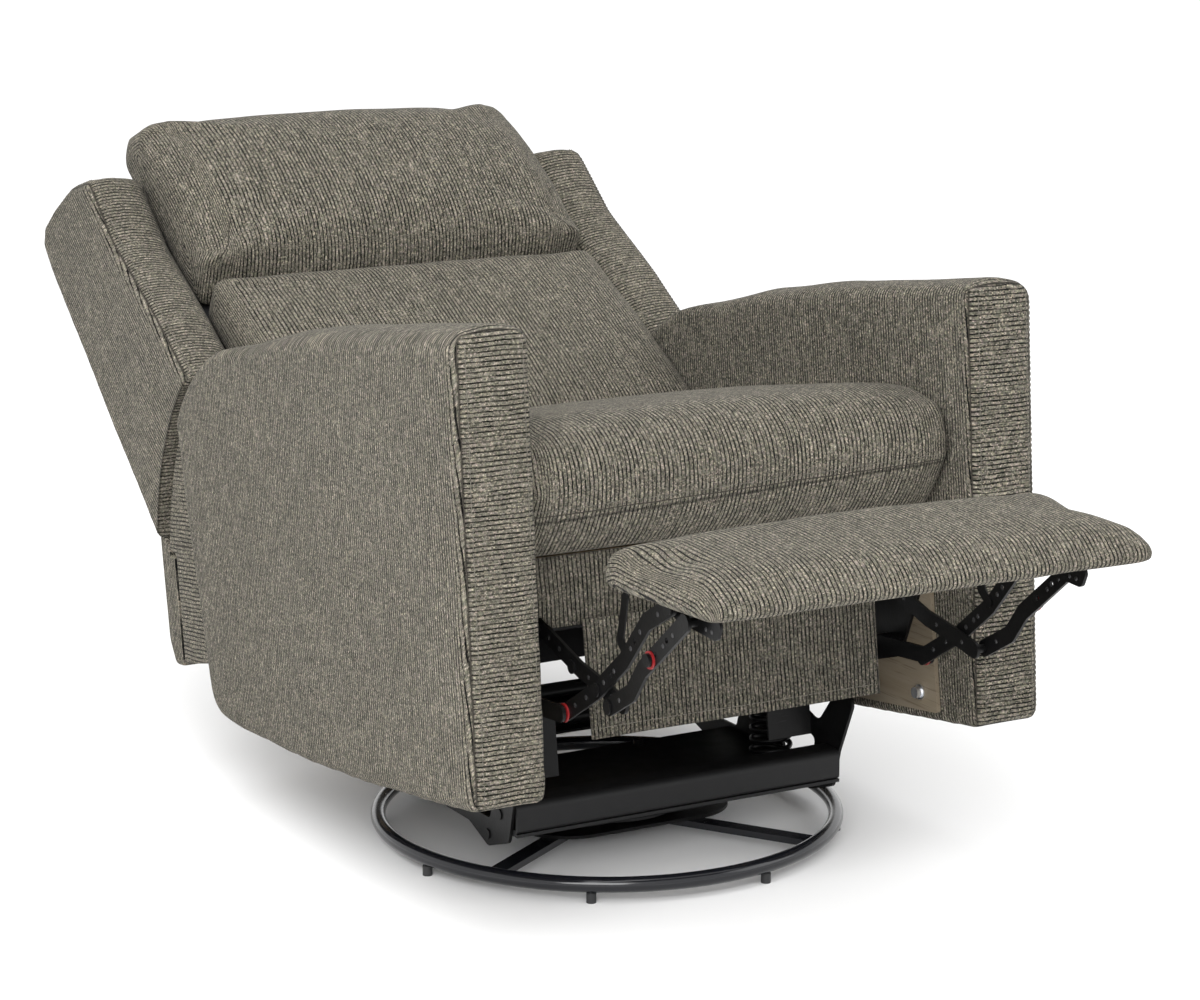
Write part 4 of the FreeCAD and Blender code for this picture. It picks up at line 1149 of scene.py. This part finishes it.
def make_lining():
    # black cloth stretched over the back frame, behind the back cushions
    line = resample([(222, 438), (527, 655.5), (537, 666), (597, 706), (690, 786)], 12.0, closed=False)
    xs = np.linspace(-289.5, 289.5, 40)
    G = np.stack([np.stack([xs, np.full(len(xs), y - 1.5), np.full(len(xs), z + 2.0) + 0.6 * np.sin(xs / 40.0)], 1) for y, z in line])
    # fabric that closes the top of the back between the wings
    top = resample([(842, 752), (851, 768), (850, 786), (836, 804), (800, 823), (774, 834), (752, 841)], 7.0, closed=False)
    xs = np.linspace(-289.5, 289.5, 80)
    T = np.stack([np.stack([xs, np.full(len(xs), y) + 0.8 * np.sin(xs / 47.0 + i), np.full(len(xs), z)], 1) for i, (y, z) in enumerate(top)])
    ob = sheet_piece("back_top_cover", T, 0.003, plane_fab(lambda P: P[:, 0], lambda P: P[:, 2] - 0.5 * P[:, 1], 0.66), None, "backrest")
    ob = sheet_piece("back_lining", G[:, ::-1], 0.0016, plane_fab(lambda P: P[:, 0], lambda P: P[:, 1:] @ W1, 0.5), None, "backrest", "lining")
    # black dust curtain under the rear of the seat
    xs = np.linspace(-244, 244, 50)
    zs = np.linspace(214, 352, 18)
    G = np.empty((len(zs), len(xs), 3))
    for i, z in enumerate(zs):
        f = (352.0 - z) / 138.0
        G[i] = np.stack([xs, 53.0 + 2.5 * f * np.sin(xs / 37.0 + 1.1), np.full(len(xs), z)], 1)
    ob = sheet_piece("seat_dust_curtain", G[::-1], 0.0016, plane_fab(lambda P: P[:, 0], lambda P: P[:, 2], 0.5), None, "chassis", "lining")


for side in (-1, 1):
    make_arm(side)
    make_wing(side)
make_lining()
make_seat()
make_lumbar()
make_head()
make_pad()
make_panels()
make_front()
make_flap()

# ---- rivets along the flat links ----------------------------------------
def rivets(name, body, x0, x1, spots, r=3.0, head=0.9):
    V, F = [], []
    for s in (-1, 1):
        for y, z in spots:
            o = len(V)
            for x, rad in ((x0 - head, 0.55 * r), (x0 - 0.35 * head, r), (x1 + 0.35 * head, r), (x1 + head, 0.55 * r)):
                for k in range(14):
                    a = 2 * math.pi * k / 14
                    V.append((s * x, y + rad * math.cos(a), z + rad * math.sin(a)))
            for i in range(3):
                for k in range(14):
                    j = (k + 1) % 14
                    f = (o + i * 14 + k, o + i * 14 + j, o + (i + 1) * 14 + j, o + (i + 1) * 14 + k)
                    F.append(f if s < 0 else f[::-1])
            caps = (tuple(o + k for k in range(14))[::-1], tuple(o + 42 + k for k in range(14)))
            F += [c if s < 0 else c[::-1] for c in caps]
    ob = mesh_object(name, world(np.array(V)), F)
    dress(ob, "rivet", False)
    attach(ob, body)


rivets("long_link_rivets", "long_links", 240, 244, [(-377, 232.2), (-404, 243.8), (-447, 265), (-472, 280), (-513, 308.8), (-536, 328.8), (-577, 351.4)])
rivets("front_link_rivets", "front_links", 248, 252, [(-494, 251.5), (-598, 320.4), (-620, 333.7)], 2.7)
rivets("drive_link_rivets", "drive_links", 232, 236, [(-310, 300.9), (-333, 290.6), (-398, 264.6), (-448, 248.6)], 2.7)
rivets("footrest_bracket_rivets", "footrest", 232, 236, [(-614, 352), (-662, 342), (-674, 340)], 2.7)

# ---- rocking springs, which shorten as the chair rocks forward; the coils here are fixed to the swivel frame ------
def make_coils():
    coil = Threads()
    t = np.linspace(0.0, 16.0 * math.pi, 8 * 28 + 1)
    for s in (-1, 1):
        out = np.stack([np.cos(t), np.sin(t), np.zeros(len(t))], 1)
        coil.tube(np.array([s * 0.178, -0.103, 0.0817]) + 0.024 * out + np.stack([0 * t, 0 * t, 0.014 * t / (2 * math.pi)], 1), out, 0.0035, sides=10, ends=False)
    ob = mesh_object("rock_spring_coils", np.array(coil.v), coil.f)
    dress(ob, "satin")
    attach(ob, "swivel_frame")
    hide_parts("rock_springs")
    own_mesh(ob)


make_coils()

# ---- hard parts ---------------------------------------------------------
FINISH = {
    "gloss": ["base_ring", "base_spokes"],
    "plastic": ["ring_foot_glides", "swivel_ball_cage"],
    "red": ["link_washers", "front_link_washers"],
    "zinc": ["arm_bolts", "swivel_balls", "seat_springs", "back_springs"],
    "board": ["arm_inner_boards"],
    "timber": ["seat_front_rail", "seat_rear_rail", "seat_side_rails", "rear_rail", "back_posts", "back_rails", "footrest_board"],
    "rough": ["front_beam", "rear_beam", "base_deck"],
}
done = {n: k for k, ns in FINISH.items() for n in ns}
for n, ob in NODES.items():
    if ob.hide_render:
        continue
    mat = MAT[done.get(n, "satin")]
    if not ob.data.materials:
        ob.data.materials.append(mat)
    for i in range(len(ob.data.materials)):
        ob.data.materials[i] = mat

# ---- stage --------------------------------------------------------------
floor = mesh_object("studio_floor", [(-14, -14, 0), (14, -14, 0), (14, 14, 0), (-14, 14, 0)], [(0, 1, 2, 3)])
g = Graph("studio_floor")
fl = g.noise(g.coords(), 1.5, 3.0)
g.set(Base_Color=g.ramp(fl, [(0.3, (0.90, 0.90, 0.90)), (0.7, (0.92, 0.92, 0.92))]), Roughness=0.8)
floor.data.materials.append(g.m)

w = bpy.data.worlds.new("studio")
SCENE.world = w
w.use_nodes = True
w.node_tree.nodes["Background"].inputs[0].default_value = (1.0, 1.0, 1.0, 1.0)
w.node_tree.nodes["Background"].inputs[1].default_value = 1.20


def softbox(name, loc, aim, size, power):
    d = bpy.data.lights.new(name, "AREA")
    d.shape = "RECTANGLE"
    d.size, d.size_y = size
    d.energy = power
    o = bpy.data.objects.new(name, d)
    o.location = loc
    o.rotation_euler = (Vector(aim) - Vector(loc)).to_track_quat("-Z", "Y").to_euler()
    SCENE.collection.objects.link(o)


softbox("key", (-2.5, -3.6, 2.5), (0, 0, 0.5), (2.6, 2.2), 138)
softbox("fill", (3.2, -2.4, 2.2), (0, 0, 0.4), (2.6, 2.2), 25)
softbox("top", (-1.4, -0.7, 3.3), (0.1, 0.1, 0.5), (3.0, 3.0), 70)

cam = bpy.data.cameras.new("camera")
cam.lens = 97.478
cam.sensor_width = 36.0
cam.sensor_fit = "HORIZONTAL"
cam.clip_start, cam.clip_end = 0.1, 60.0
co = bpy.data.objects.new("camera", cam)
co.location = (-1.9191, -3.4143, 1.2975)
az, el = math.radians(-29.211), math.radians(12.615)
back = Vector((math.sin(az) * math.cos(el), -math.cos(az) * math.cos(el), math.sin(el)))
co.rotation_euler = (-back).to_track_quat("-Z", "Y").to_euler()
SCENE.collection.objects.link(co)
SCENE.camera = co
SCENE.view_settings.view_transform = "Standard"
